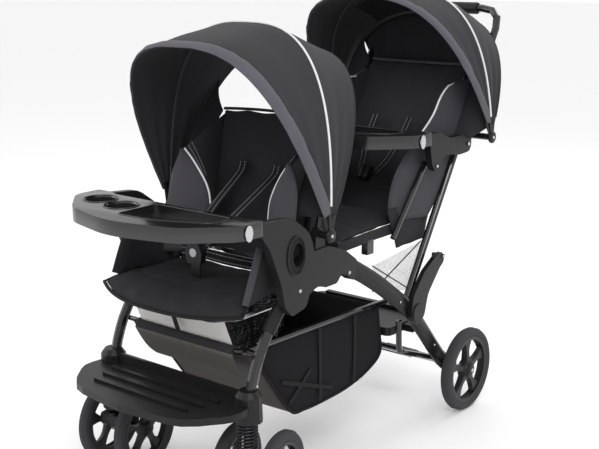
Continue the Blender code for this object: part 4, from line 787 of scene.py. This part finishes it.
def rear_seat():
    """The jump seat's pad with its band, skirts and bight, and its backrest on the push frame."""
    def place(a, b):
        return Vector((a * (0.15 + 0.01 * b), 0.212 - 0.29 * b, 0.5465 - 0.006 * b ** 6)), UP

    pad("rear_seat_cushion", place, 0.03, [cross_seam(place, b, 0.018) for b in (0.38, 0.7)],
        (0.0035, 0.045, 9.0), 0.5, "chassis", "rear_seat_pad")
    put(tube("rear_seat_piping", top_edge(place, 30), 0.0034, "wing_cloth"), "chassis")

    bight = [[push_place(0.335, 0.014, x * 0.16).lerp(Vector((x * 0.156, 0.2, 0.543)), t)
              for x in spread(16)] for t in shares(6)]
    put(cloth_sheet("rear_seat_bight", bight, "seat_cloth"), "chassis",
        squash=fold_squash((0, 0.2, 0.543), 0.15))
    right = [(-0.158, 0.19, 0.546), (-0.16, 0.05, 0.545), (-0.159, -0.066, 0.541), (-0.14, -0.08, 0.54)]
    brim = spline([*right, (0.0, -0.082, 0.54), *((-x, y, z) for x, y, z in reversed(right))], 5)
    band = [[point - Vector((0, 0, 0.027 * t)) for point in brim] for t in shares(4)]
    put(crumple(cloth_sheet("rear_seat_band", band, "seat_cloth"), 0.0016, 0.03, 5.0), "chassis")
    for name, side in SIDES:
        skirt = [[Vector((side * 0.166, 0.112 + 0.21 * t, 0.585 + 0.012 * t)).lerp(
            Vector((side * 0.17, 0.15 + 0.125 * t, 0.484)), s) for t in shares(10)] for s in shares(8)]
        piece = crumple(cloth_sheet(f"rear_seat_skirt_{name}", skirt, "seat_cloth"), 0.0022, 0.04, 3.0)
        put(piece, "chassis", squash=fold_squash((0, 0.2, 0.5), 0.3))

    def back(a, b):
        along = 0.29 + 0.395 * b
        return (push_place(along, 0.024 - 0.004 * (1 - a * a), a * (0.166 - 0.01 * b)),
                push_place(1.0, 1.0) - push_place(1.0))

    seams = [([push_place(along, 0.046, x * 0.13) for x in spread(20)], SEAM_DEPTH, SEAM_WIDTH)
             for along in (0.395, 0.5, 0.59)]
    seams.append(([push_place(0.5 + 0.045 * arc(t), 0.046, 0.042 * math.cos(math.pi * t))
                   for t in shares(20)], 0.004, 0.005))
    pad("rear_back_cushion", back, 0.034, seams, (0.0035, 0.05, 12.0), 0.45, "push_frame", "rear_back_pad",
        REAR_SQUASH)
    put(tube("rear_back_top_hem", top_edge(back, 24), 0.0036, "wing_cloth"), "push_frame", squash=REAR_SQUASH)
    for name, side in SIDES:
        strap(f"rear_shoulder_strap_{name}", mirrored([
            push_place(0.5, 0.058, 0.055), push_place(0.45, 0.064, 0.052), push_place(0.375, 0.07, 0.04),
            push_place(0.32, 0.085, 0.022)], side), (1, 0, 0), 0.024, "push_frame", REAR_SQUASH)
    buckle = tube("rear_buckle", [push_place(0.335, 0.092), push_place(0.3, 0.094)], [0.022, 0.018],
                  "moulding")
    put(buckle, "push_frame", REAR_SQUASH)


# Basket and nets

def basket():
    """The sling basket: a solid front and floor, net sides with crossing straps, and bound edges."""
    def hang(piece, replaces=()):
        put(piece, "basket", fold_squash((0, -0.4, 0.366), 0.3), replaces)

    outline = spline([(0, -0.399, 0.362), (0, -0.33, 0.268), (0, -0.258, 0.176), (0, -0.205, 0.163),
                      (0, -0.12, 0.161), (0, -0.03, 0.166), (0, 0.05, 0.184), (0, 0.104, 0.216),
                      (0, 0.098, 0.28), (0, 0.088, 0.346)], 6)
    rows = []
    for point in outline:
        sag = 0.006 * math.exp(-((point.y + 0.1) / 0.16) ** 2)
        rows.append([Vector((BASKET_HALF * (2 * t - 1), point.y, point.z - sag * (1 - (2 * t - 1) ** 2)))
                     for t in shares(16)])
    last = len(rows) - 1
    hang(cloth_sheet("basket_floor", rows, "basket_cloth", 0.0018, "seat_cloth",
                     lambda row, column: 0 if row < last * 0.36 else 1), ("basket",))
    for name, side in SIDES:
        net = []
        for t in shares(24):
            low = outline[round(t * last)]
            y = -0.399 + 0.487 * t
            rail = Vector((0, y, 0.362 - 0.016 * max(0.0, (y + 0.1) / 0.2) if y > -0.1 else 0.362))
            net.append([Vector((side * (BASKET_HALF + 0.008 * arc(s)), *rail.lerp(low, s)[1:]))
                        for s in shares(8)])
        hang(cloth_sheet(f"basket_net_{name}", net, "dark_net", 0.0))
        hem = [Vector((side * (BASKET_HALF + 0.0012), point.y, point.z)) for point in outline]
        hang(tube(f"basket_binding_{name}", hem, 0.0034, "webbing"))
        for number, (a, b, across) in enumerate((((-0.3, 0.262), (-0.11, 0.19), (0, 0, 1)),
                                                 ((-0.195, 0.262), (-0.27, 0.2), (0, 1, 0.3)),
                                                 ((-0.16, 0.355), (-0.155, 0.172), (0, 1, 0.3)),
                                                 ((-0.02, 0.35), (-0.02, 0.176), (0, 1, 0.3)))):
            high = Vector((side * (BASKET_HALF + 0.0115), *a))
            low = Vector((side * (BASKET_HALF + 0.0105), *b))
            line = [high.lerp(low, t) for t in shares(6)]
            hang(ribbon(f"basket_strap_{name}_{number}", line, across, 0.01, 0.0014))
    sleeve = [Vector((x * 0.148, -0.4335, 0.37)) for x in spread(40)]
    radii = [0.0125 + 0.0012 * noise.noise(Vector((k * 0.7, 0, 5))) for k in range(41)]
    hang(tube("basket_front_sleeve", sleeve, radii, "seat_cloth", 16))
    flap = [[Vector((0.15 * (1 - 0.1 * t) * (2 * s - 1), -0.445 + 0.052 * t,
                     0.366 - 0.075 * t - 0.01 * arc(t))) for s in shares(12)] for t in shares(8)]
    hang(cloth_sheet("basket_front_flap", flap, "basket_cloth"))


def nets():
    """The pale panel below the front seat and the side nets of the rear step-in space."""
    rows = [[Vector((0.14 * (2 * t - 1), -0.462 + 0.03 * s, 0.452 - 0.072 * s)) for t in shares(12)]
            for s in shares(6)]
    put(cloth_sheet("under_seat_panel", rows, "pale_cloth", 0.0014), "chassis")
    put(ribbon("under_seat_strap", [(0.0, -0.478, 0.456), (0.0, -0.455, 0.392)], (1, 0, 0), 0.014, 0.0018),
        "chassis")
    squash = fold_squash((0, 0.1, 0.42), 0.3)
    for name, side in SIDES:
        high_front, high_back, low_back, low_front = mirrored([
            (0.181, 0.03, 0.464), (0.181, 0.246, 0.484), (0.181, 0.204, 0.362), (0.181, 0.032, 0.398)], side)
        net = [[high_front.lerp(low_front, s).lerp(high_back.lerp(low_back, s), t) for t in shares(8)]
               for s in shares(8)]
        put(cloth_sheet(f"side_net_{name}", net, "pale_net", 0.0), "chassis", squash=squash)
        for number, (a, b) in enumerate(((high_front, low_back), (high_back, low_front))):
            line = [a.lerp(b, t) for t in shares(6)]
            put(tube(f"side_net_cord_{name}_{number}", line, EDGE_R, "webbing"), "chassis", squash=squash)


# Mouldings that need smooth outlines

def rounded(corners, steps=8):
    """An outline with each corner (x, y, radius) rounded."""
    points = []
    for index, (a, b, radius) in enumerate(corners):
        here = Vector((a, b))
        before = Vector(corners[index - 1][:2]) - here
        after = Vector(corners[(index + 1) % len(corners)][:2]) - here
        turn = before.angle(after)
        if radius <= 0.0 or abs(turn - math.pi) < 0.02:
            points.append(here)
            continue
        reach = min(radius / math.tan(turn / 2), before.length * 0.48, after.length * 0.48)
        start = here + before.normalized() * reach
        end = here + after.normalized() * reach
        points += [start.lerp(here, t).lerp(here.lerp(end, t), t) for t in shares(steps)]
    return points


def slab(name, outline, low, high, edge=0.0):
    """A flat solid with the given outline in plan, with rounded edges."""
    curve = bpy.data.curves.new(name, "CURVE")
    settle(curve, dimensions="2D", fill_mode="BOTH", extrude=(high - low) / 2)
    ring = curve.splines.new("POLY")
    ring.points.add(len(outline) - 1)
    ring.use_cyclic_u = True
    for point, place in zip(ring.points, outline):
        point.co = (place.x, place.y, 0.0, 1.0)
    drawn = add_object(name, curve)
    mesh = baked(drawn)
    bpy.data.objects.remove(drawn, do_unlink=True)
    solid = add_object(name, mesh)
    form = bmesh.new()
    form.from_mesh(mesh)
    bmesh.ops.remove_doubles(form, verts=form.verts, dist=0.00005)
    form.to_mesh(mesh)
    form.free()
    mesh.transform(Matrix.Translation((0, 0, (low + high) / 2)))
    mesh.materials.clear()
    mesh.materials.append(LOOKS["tray_gloss_painted_highlight"])
    outward_normals(solid)
    if edge:
        modified(solid, "BEVEL", width=edge, segments=3, limit_method="ANGLE", angle_limit=math.radians(35))
    return solid


def carve(obj, cutters):
    for cutter in cutters:
        modified(obj, "BOOLEAN", operation="DIFFERENCE", solver="EXACT", object=cutter)
        bpy.data.objects.remove(cutter, do_unlink=True)


def tray(body, facts):
    """A moulded tray with a raised rim, sunk wells and trough, and a glossy curved front."""
    back, top, half, depth = facts["back"], facts["top"], facts["half"], facts["depth"]
    name = f"{body}_moulding"
    front = back - 0.19
    left = [(half - 0.066, back - 0.012, 0.03), (half - 0.046, back, 0.012), (half, back, 0.01),
            (half, back - 0.07, 0.06), (half * 0.62, front + 0.03, 0.11)]
    right = [(-x, y, radius) for x, y, radius in reversed(left)]
    corners = [*right[2:], *left, (0.0, front - 0.01, 0.22), *right[:2]]
    moulding = slab(name, rounded(corners, 10), top - 0.032, top, 0.0055)
    cutters = []
    rims = []
    for x, y in facts["wells"]:
        place = Vector((x, back + y, top))
        profile = ((0.004, 0.0395), (0, 0.0372), (-0.003, 0.0345), (-depth, 0.031))
        cutters.append(turned("well", place, UP, profile, "tray_gloss_painted_highlight", 48))
        ring = [place + Vector((WELL_R * math.cos(turn), WELL_R * math.sin(turn), 0.0002))
                for turn in [2 * math.pi * t for t in shares(48)]]
        rims.append(tube("rim", ring, EDGE_R, "tray_gloss_painted_highlight"))
    trough = rounded([
        (-0.03, back - 0.03, 0.014), (half - 0.06, back - 0.03, 0.014),
        (half - 0.064, back - 0.09, 0.03), (0.07, back - 0.14, 0.05), (-0.03, back - 0.146, 0.014)])
    if depth > 0.03:
        cups = [tube("cup", [(x, back + y, top - 0.031), (x, back + y, top - depth - 0.003)], [0.037, 0.034],
                     "tray_gloss_painted_highlight", 32) for x, y in facts["wells"]]
        put(merged(f"{name}_cups", cups, "tray_gloss_painted_highlight"), body)
    cutters.append(slab("trough", trough, top - 0.014, top + 0.01))
    carve(moulding, cutters)
    put(smooth_off(moulding), body, replaces=(body,))
    lip = [Vector((point.x, point.y, top + 0.0002)) for point in trough]
    rims.append(tube("rim", lip + [lip[0]], EDGE_R, "tray_gloss_painted_highlight"))
    put(merged(f"{name}_rims", rims, "tray_gloss_painted_highlight"), body)


# Wheels, springs and fixings

def spun(profile, look, name, steps=72):
    """A profile of (radius, along) points turned round the wheel's axis."""
    verts = []
    for step in range(steps):
        angle = 2 * math.pi * step / steps
        verts += [(along, r * math.cos(angle), r * math.sin(angle)) for r, along in profile]
    faces = grid_faces(steps, len(profile), closed=True, looped=True)
    return outward_normals(make_mesh(name, verts, faces, look, angle=50.0))


def wheel(label, place, turn, radius, width, rim_radius, nodes, outward):
    """A tyre with a rounded tread and shoulder lines, and a five-spoke rim with a hub cap."""
    half = width / 2
    crown = 0.011
    section = [(radius - crown + crown * math.cos(bend) ** 0.7, half * 0.98 * math.sin(bend))
               for bend in [-math.pi / 2 + math.pi * k / 12 for k in range(13)]]
    section += [(rim_radius + out, half * x) for out, x in (
        (0.006, 0.97), (0.001, 0.74), (0.001, -0.74), (0.006, -0.97))]
    tyre = spun(section, "tyre", f"{label}_tyre")
    grooves = [spun([(radius - 0.0005, x), (radius + 0.0003, x + 0.0008), (radius - 0.0005, x + 0.0016)],
                    "tyre", "line") for x in (-half * 0.45, half * 0.3)]
    tread = merged(f"{label}_tread", grooves, "tyre")
    ring = [(rim_radius + 0.0006, half * 0.8), (rim_radius + 0.0006, -half * 0.8)]
    ring += [(rim_radius * r, half * x) for r, x in (
        (0.9, -0.7), (0.9, -0.55), (0.955, -0.3), (0.955, 0.3), (0.9, 0.55), (0.9, 0.7))]
    hub = [(0.0065, half * 0.95), (rim_radius * 0.22, half * 0.95), (rim_radius * 0.27, half * 0.3),
           (rim_radius * 0.27, -half * 0.8), (0.0065, -half * 0.8)]
    pieces = [spun(ring, "wheel_plastic", "ring"), spun(hub, "wheel_plastic", "hub", 36)]
    for number in range(5):
        base = 2 * math.pi * number / 5 + math.pi / 2
        ahead = Vector((0, math.cos(base), math.sin(base)))
        side = Vector((0, -math.sin(base), math.cos(base)))
        verts = []
        for t in shares(8):
            r = rim_radius * (0.2 + 0.72 * t)
            wide = 0.085 * rim_radius * (1.9 - 0.9 * arc(min(1.0, t * 1.15)) + 0.9 * t ** 3)
            thick = half * (0.62 - 0.18 * t)
            dish = half * 0.16 * arc(t)
            for a, b in ((-1.0, -0.6), (-0.72, 1.0), (0.72, 1.0), (1.0, -0.6), (0.8, -1.0), (-0.8, -1.0)):
                verts.append(ahead * r + side * wide * a + Vector((thick * b - dish, 0, 0)))
        pieces.append(loft("spoke", verts, 6, "wheel_plastic", 50.0))
    rim = merged(f"{label}_rim", pieces, "wheel_plastic")
    cap = turned(f"{label}_hub_cap", (0, 0, 0), Vector((1, 0, 0)), [(half * x, rim_radius * r) for x, r in (
        (0.9, 0.2), (1.05, 0.2), (1.22, 0.16), (1.26, 0.05))], "moulding", 28)
    moves = Matrix.Translation(place) @ Matrix.Rotation(turn + (0.0 if outward > 0 else math.pi), 4, "Z")
    for piece in (tyre, tread, rim, cap):
        piece.data.transform(moves)
        smooth_off(piece, 42.0)
    put(tyre, label, replaces=nodes)
    put(tread, label)
    put(rim, label)
    put(cap, label)


def wheels():
    for name, side in SIDES:
        turn = math.radians(12.0 if side > 0 else 6.0)
        centre = Vector((side * CASTER_X, STEER_Y, 0.0))
        for spot, step in (("outer", side), ("inner", -side)):
            place = centre + Matrix.Rotation(turn, 3, "Z") @ Vector((step * 0.055, 0.043, FRONT_WHEEL_R))
            wheel(f"front_wheel_{name}_{spot}", place, turn, FRONT_WHEEL_R, 0.026, FRONT_WHEEL_R - 0.024,
                  (f"front_tyre_{name}_{spot}", f"front_rim_{name}_{spot}"), step)
        wheel(f"rear_wheel_{name}", Vector((side * 0.252, 0.378, REAR_WHEEL_R)), 0.0, REAR_WHEEL_R, 0.03,
              REAR_WHEEL_R - 0.022, (f"rear_tyre_{name}", f"rear_rim_{name}"), side)


def springs():
    """The coil springs round the front struts."""
    curls, radius, foot, length = 8.5, 0.021, 0.169, 0.0655
    steps = int(curls * 20)
    for name, side in SIDES:
        x = side * CASTER_X
        line = []
        for k in range(steps + 1):
            t = k / (curls * 20)
            turn = 2 * math.pi * curls * t
            line.append((x + radius * math.cos(turn), STEER_Y + radius * math.sin(turn), foot + length * t))
        put(tube(f"spring_wire_{name}", line, 0.0021, "dark_steel"), "front_frame",
            (f"strut_{name}_travel", (0, 0, 1), (x, STEER_Y, 0.237), 0.84), (f"spring_{name}",))


def fixings():
    """Rivets, bolts and screws on the frame."""
    for name, side in SIDES:
        for label, place, body, radius, lean in RIVETS:
            x, y, z = place or push_place(0.469, 0.0, 0.219)
            rivet(f"{label}_{name}", (side * x, y, z), (side, lean, 0), body, radius)


def armrest_rims():
    """The dished ovals around the openings of the front armrests, and the oval pads on the tray buttons."""
    circle = [Vector((0, math.cos(turn), math.sin(turn))) for turn in [2 * math.pi * t for t in shares(40)]]
    for name, side in SIDES:
        ring, outer, inner = [
            [Vector((side * x, y + wide * spot.y, 0.578 + high * spot.z)) for spot in circle]
            for x, y, wide, high in ((0.2432, -0.34, 0.029, 0.043), (0.2428, -0.34, 0.029, 0.043),
                                     (0.2424, -0.333, 0.0175, 0.026))]
        dish = [a.lerp(b, t) for a, b in zip(outer, inner) for t in shares(3)]
        put(tube(f"armrest_rim_{name}", ring, 0.0024, "moulding"), "front_frame")
        put(make_mesh(f"armrest_dish_{name}", dish, grid_faces(41, 4), "webbing"), "front_frame")
    for node in [name for name in NODES if "_tray_button_" in name]:
        low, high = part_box(node)
        side = 1 if low[0] > 0 else -1
        _, y, z = [(a + b) / 2 for a, b in zip(low, high)]
        face = high[0] if side > 0 else low[0]
        oval = turned(f"{node}_pad", (face, y, z), Vector((side, 0, 0)),
                      ((0.0001, 0.0105), (0.0018, 0.0105), (0.0024, 0.009)), "button")
        for vert in oval.data.vertices:
            vert.co.z = z + (vert.co.z - z) * 1.6
        put(oval, node)


def repaint():
    """Give every CAD node that stays its procedural finish."""
    by_name = {start: look for look, starts in NODE_LOOKS.items() for start in starts}
    for name, node in NODES.items():
        if node.hide_render:
            continue
        look = by_name[max((start for start in by_name if name.startswith(start)), key=len)]
        if not node.data.materials:
            node.data.materials.append(LOOKS[look])
        for index in range(len(node.data.materials)):
            node.data.materials[index] = LOOKS[look]
        smooth_off(node, 34)


# Stage, lights and camera

def for_camera(tree, other, seen, output):
    """Show one shader to the camera and the other one to every other ray."""
    path = add_node(tree, "LightPath", {})
    mix = add_node(tree, "MixShader", {0: path.outputs["Is Camera Ray"], 1: other.outputs[0],
                                       2: seen.outputs[0]})
    wire(tree, tree.nodes[output], {"Surface": mix.outputs[0]})


def stage():
    """A plain pale floor, a white studio, three soft lamps and the photo's camera."""
    scene = bpy.context.scene
    mesh = bpy.data.meshes.new("floor")
    mesh.from_pydata([(x * FLOOR_HALF, y * FLOOR_HALF, 0) for x, y in ((-1, -1), (1, -1), (1, 1), (-1, 1))],
                     [], [(0, 1, 2, 3)])
    floor = add_object("floor", mesh)
    made = bpy.data.materials.new("floor")
    made.use_nodes = True
    tree = made.node_tree
    shader = wire(tree, tree.nodes["Principled BSDF"], {"Base Color": FLOOR_COLOUR, "Roughness": 0.6})
    glow = add_node(tree, "Emission", {"Color": WHITE, "Strength": 0.1})
    for_camera(tree, shader, add_node(tree, "AddShader", {0: shader.outputs[0], 1: glow.outputs[0]}),
               "Material Output")
    mesh.materials.append(made)
    world = bpy.data.worlds.new("studio")
    scene.world = world
    world.use_nodes = True
    tree = world.node_tree
    light = wire(tree, tree.nodes["Background"], {"Color": WHITE, "Strength": 0.85})
    white = add_node(tree, "Background", {"Color": WHITE, "Strength": 1.0})
    for_camera(tree, light, white, "World Output")
    for name, place, power, size in LAMPS:
        obj = add_object(name, settle(bpy.data.lights.new(name, "AREA"), energy=power, size=size))
        obj.location = place
        obj.rotation_euler = (LAMP_TARGET - Vector(place)).to_track_quat("-Z", "Y").to_euler()
    camera = bpy.data.cameras.new("camera")
    eye = add_object("camera", settle(camera, lens=CAMERA_LENS, sensor_width=CAMERA_SENSOR))
    eye.location = CAMERA_PLACE
    level = math.cos(CAMERA_PITCH)
    ahead = Vector((-math.sin(CAMERA_AZIMUTH) * level, math.cos(CAMERA_AZIMUTH) * level,
                    -math.sin(CAMERA_PITCH)))
    eye.rotation_euler = ahead.to_track_quat("-Z", "Y").to_euler()
    scene.camera = eye
    scene.view_settings.view_transform = "Standard"


canopy("front", FRONT_HOOD, "front_canopy", "chassis")
canopy("rear", REAR_HOOD, "rear_canopy", "push_frame", window=True)
front_seat()
front_back()
side_wings("front", "front_backrest",
           [(0.196, -0.33, 0.515), (0.196, -0.29, 0.62), (0.19, -0.272, 0.7), (0.165, -0.262, 0.757)],
           [(0.088, -0.262, 0.52), (0.088, -0.252, 0.6), (0.096, -0.25, 0.665), (0.13, -0.256, 0.722),
            (0.16, -0.261, 0.756)],
           [back_place(*spot) for spot in (
               (0.01, 0.004, 0.146), (0.12, 0.006, 0.147), (0.23, 0.008, 0.148), (0.345, 0.01, 0.146))],
           0.0, fold_squash((0, -0.17, 0.6), 0.25, (0, 1, 0)))
side_wings("rear", "push_frame",
           [push_place(*spot) for spot in (
               (0.25, 0.018, 0.178), (0.36, -0.004, 0.182), (0.48, -0.004, 0.182), (0.58, 0.004, 0.18),
               (0.66, 0.014, 0.176))],
           [(0.162, 0.136, 0.556), (0.162, 0.123, 0.592), (0.162, 0.141, 0.656), (0.162, 0.184, 0.704),
            (0.162, 0.2145, 0.728), (0.162, 0.277, 0.767), (0.162, 0.323, 0.803), (0.162, 0.353, 0.842),
            (0.162, 0.392, 0.869), (0.162, 0.429, 0.87)],
           [push_place(*spot) for spot in (
               (0.25, 0.022, 0.152), (0.36, 0.02, 0.154), (0.5, 0.02, 0.152), (0.668, 0.018, 0.15))],
           0.752, REAR_SQUASH)
front_harness()
rear_seat()
basket()
nets()
tray("front_tray", FRONT_TRAY)
tray("rear_tray", REAR_TRAY)
wheels()
springs()
fixings()
armrest_rims()
repaint()
stage()
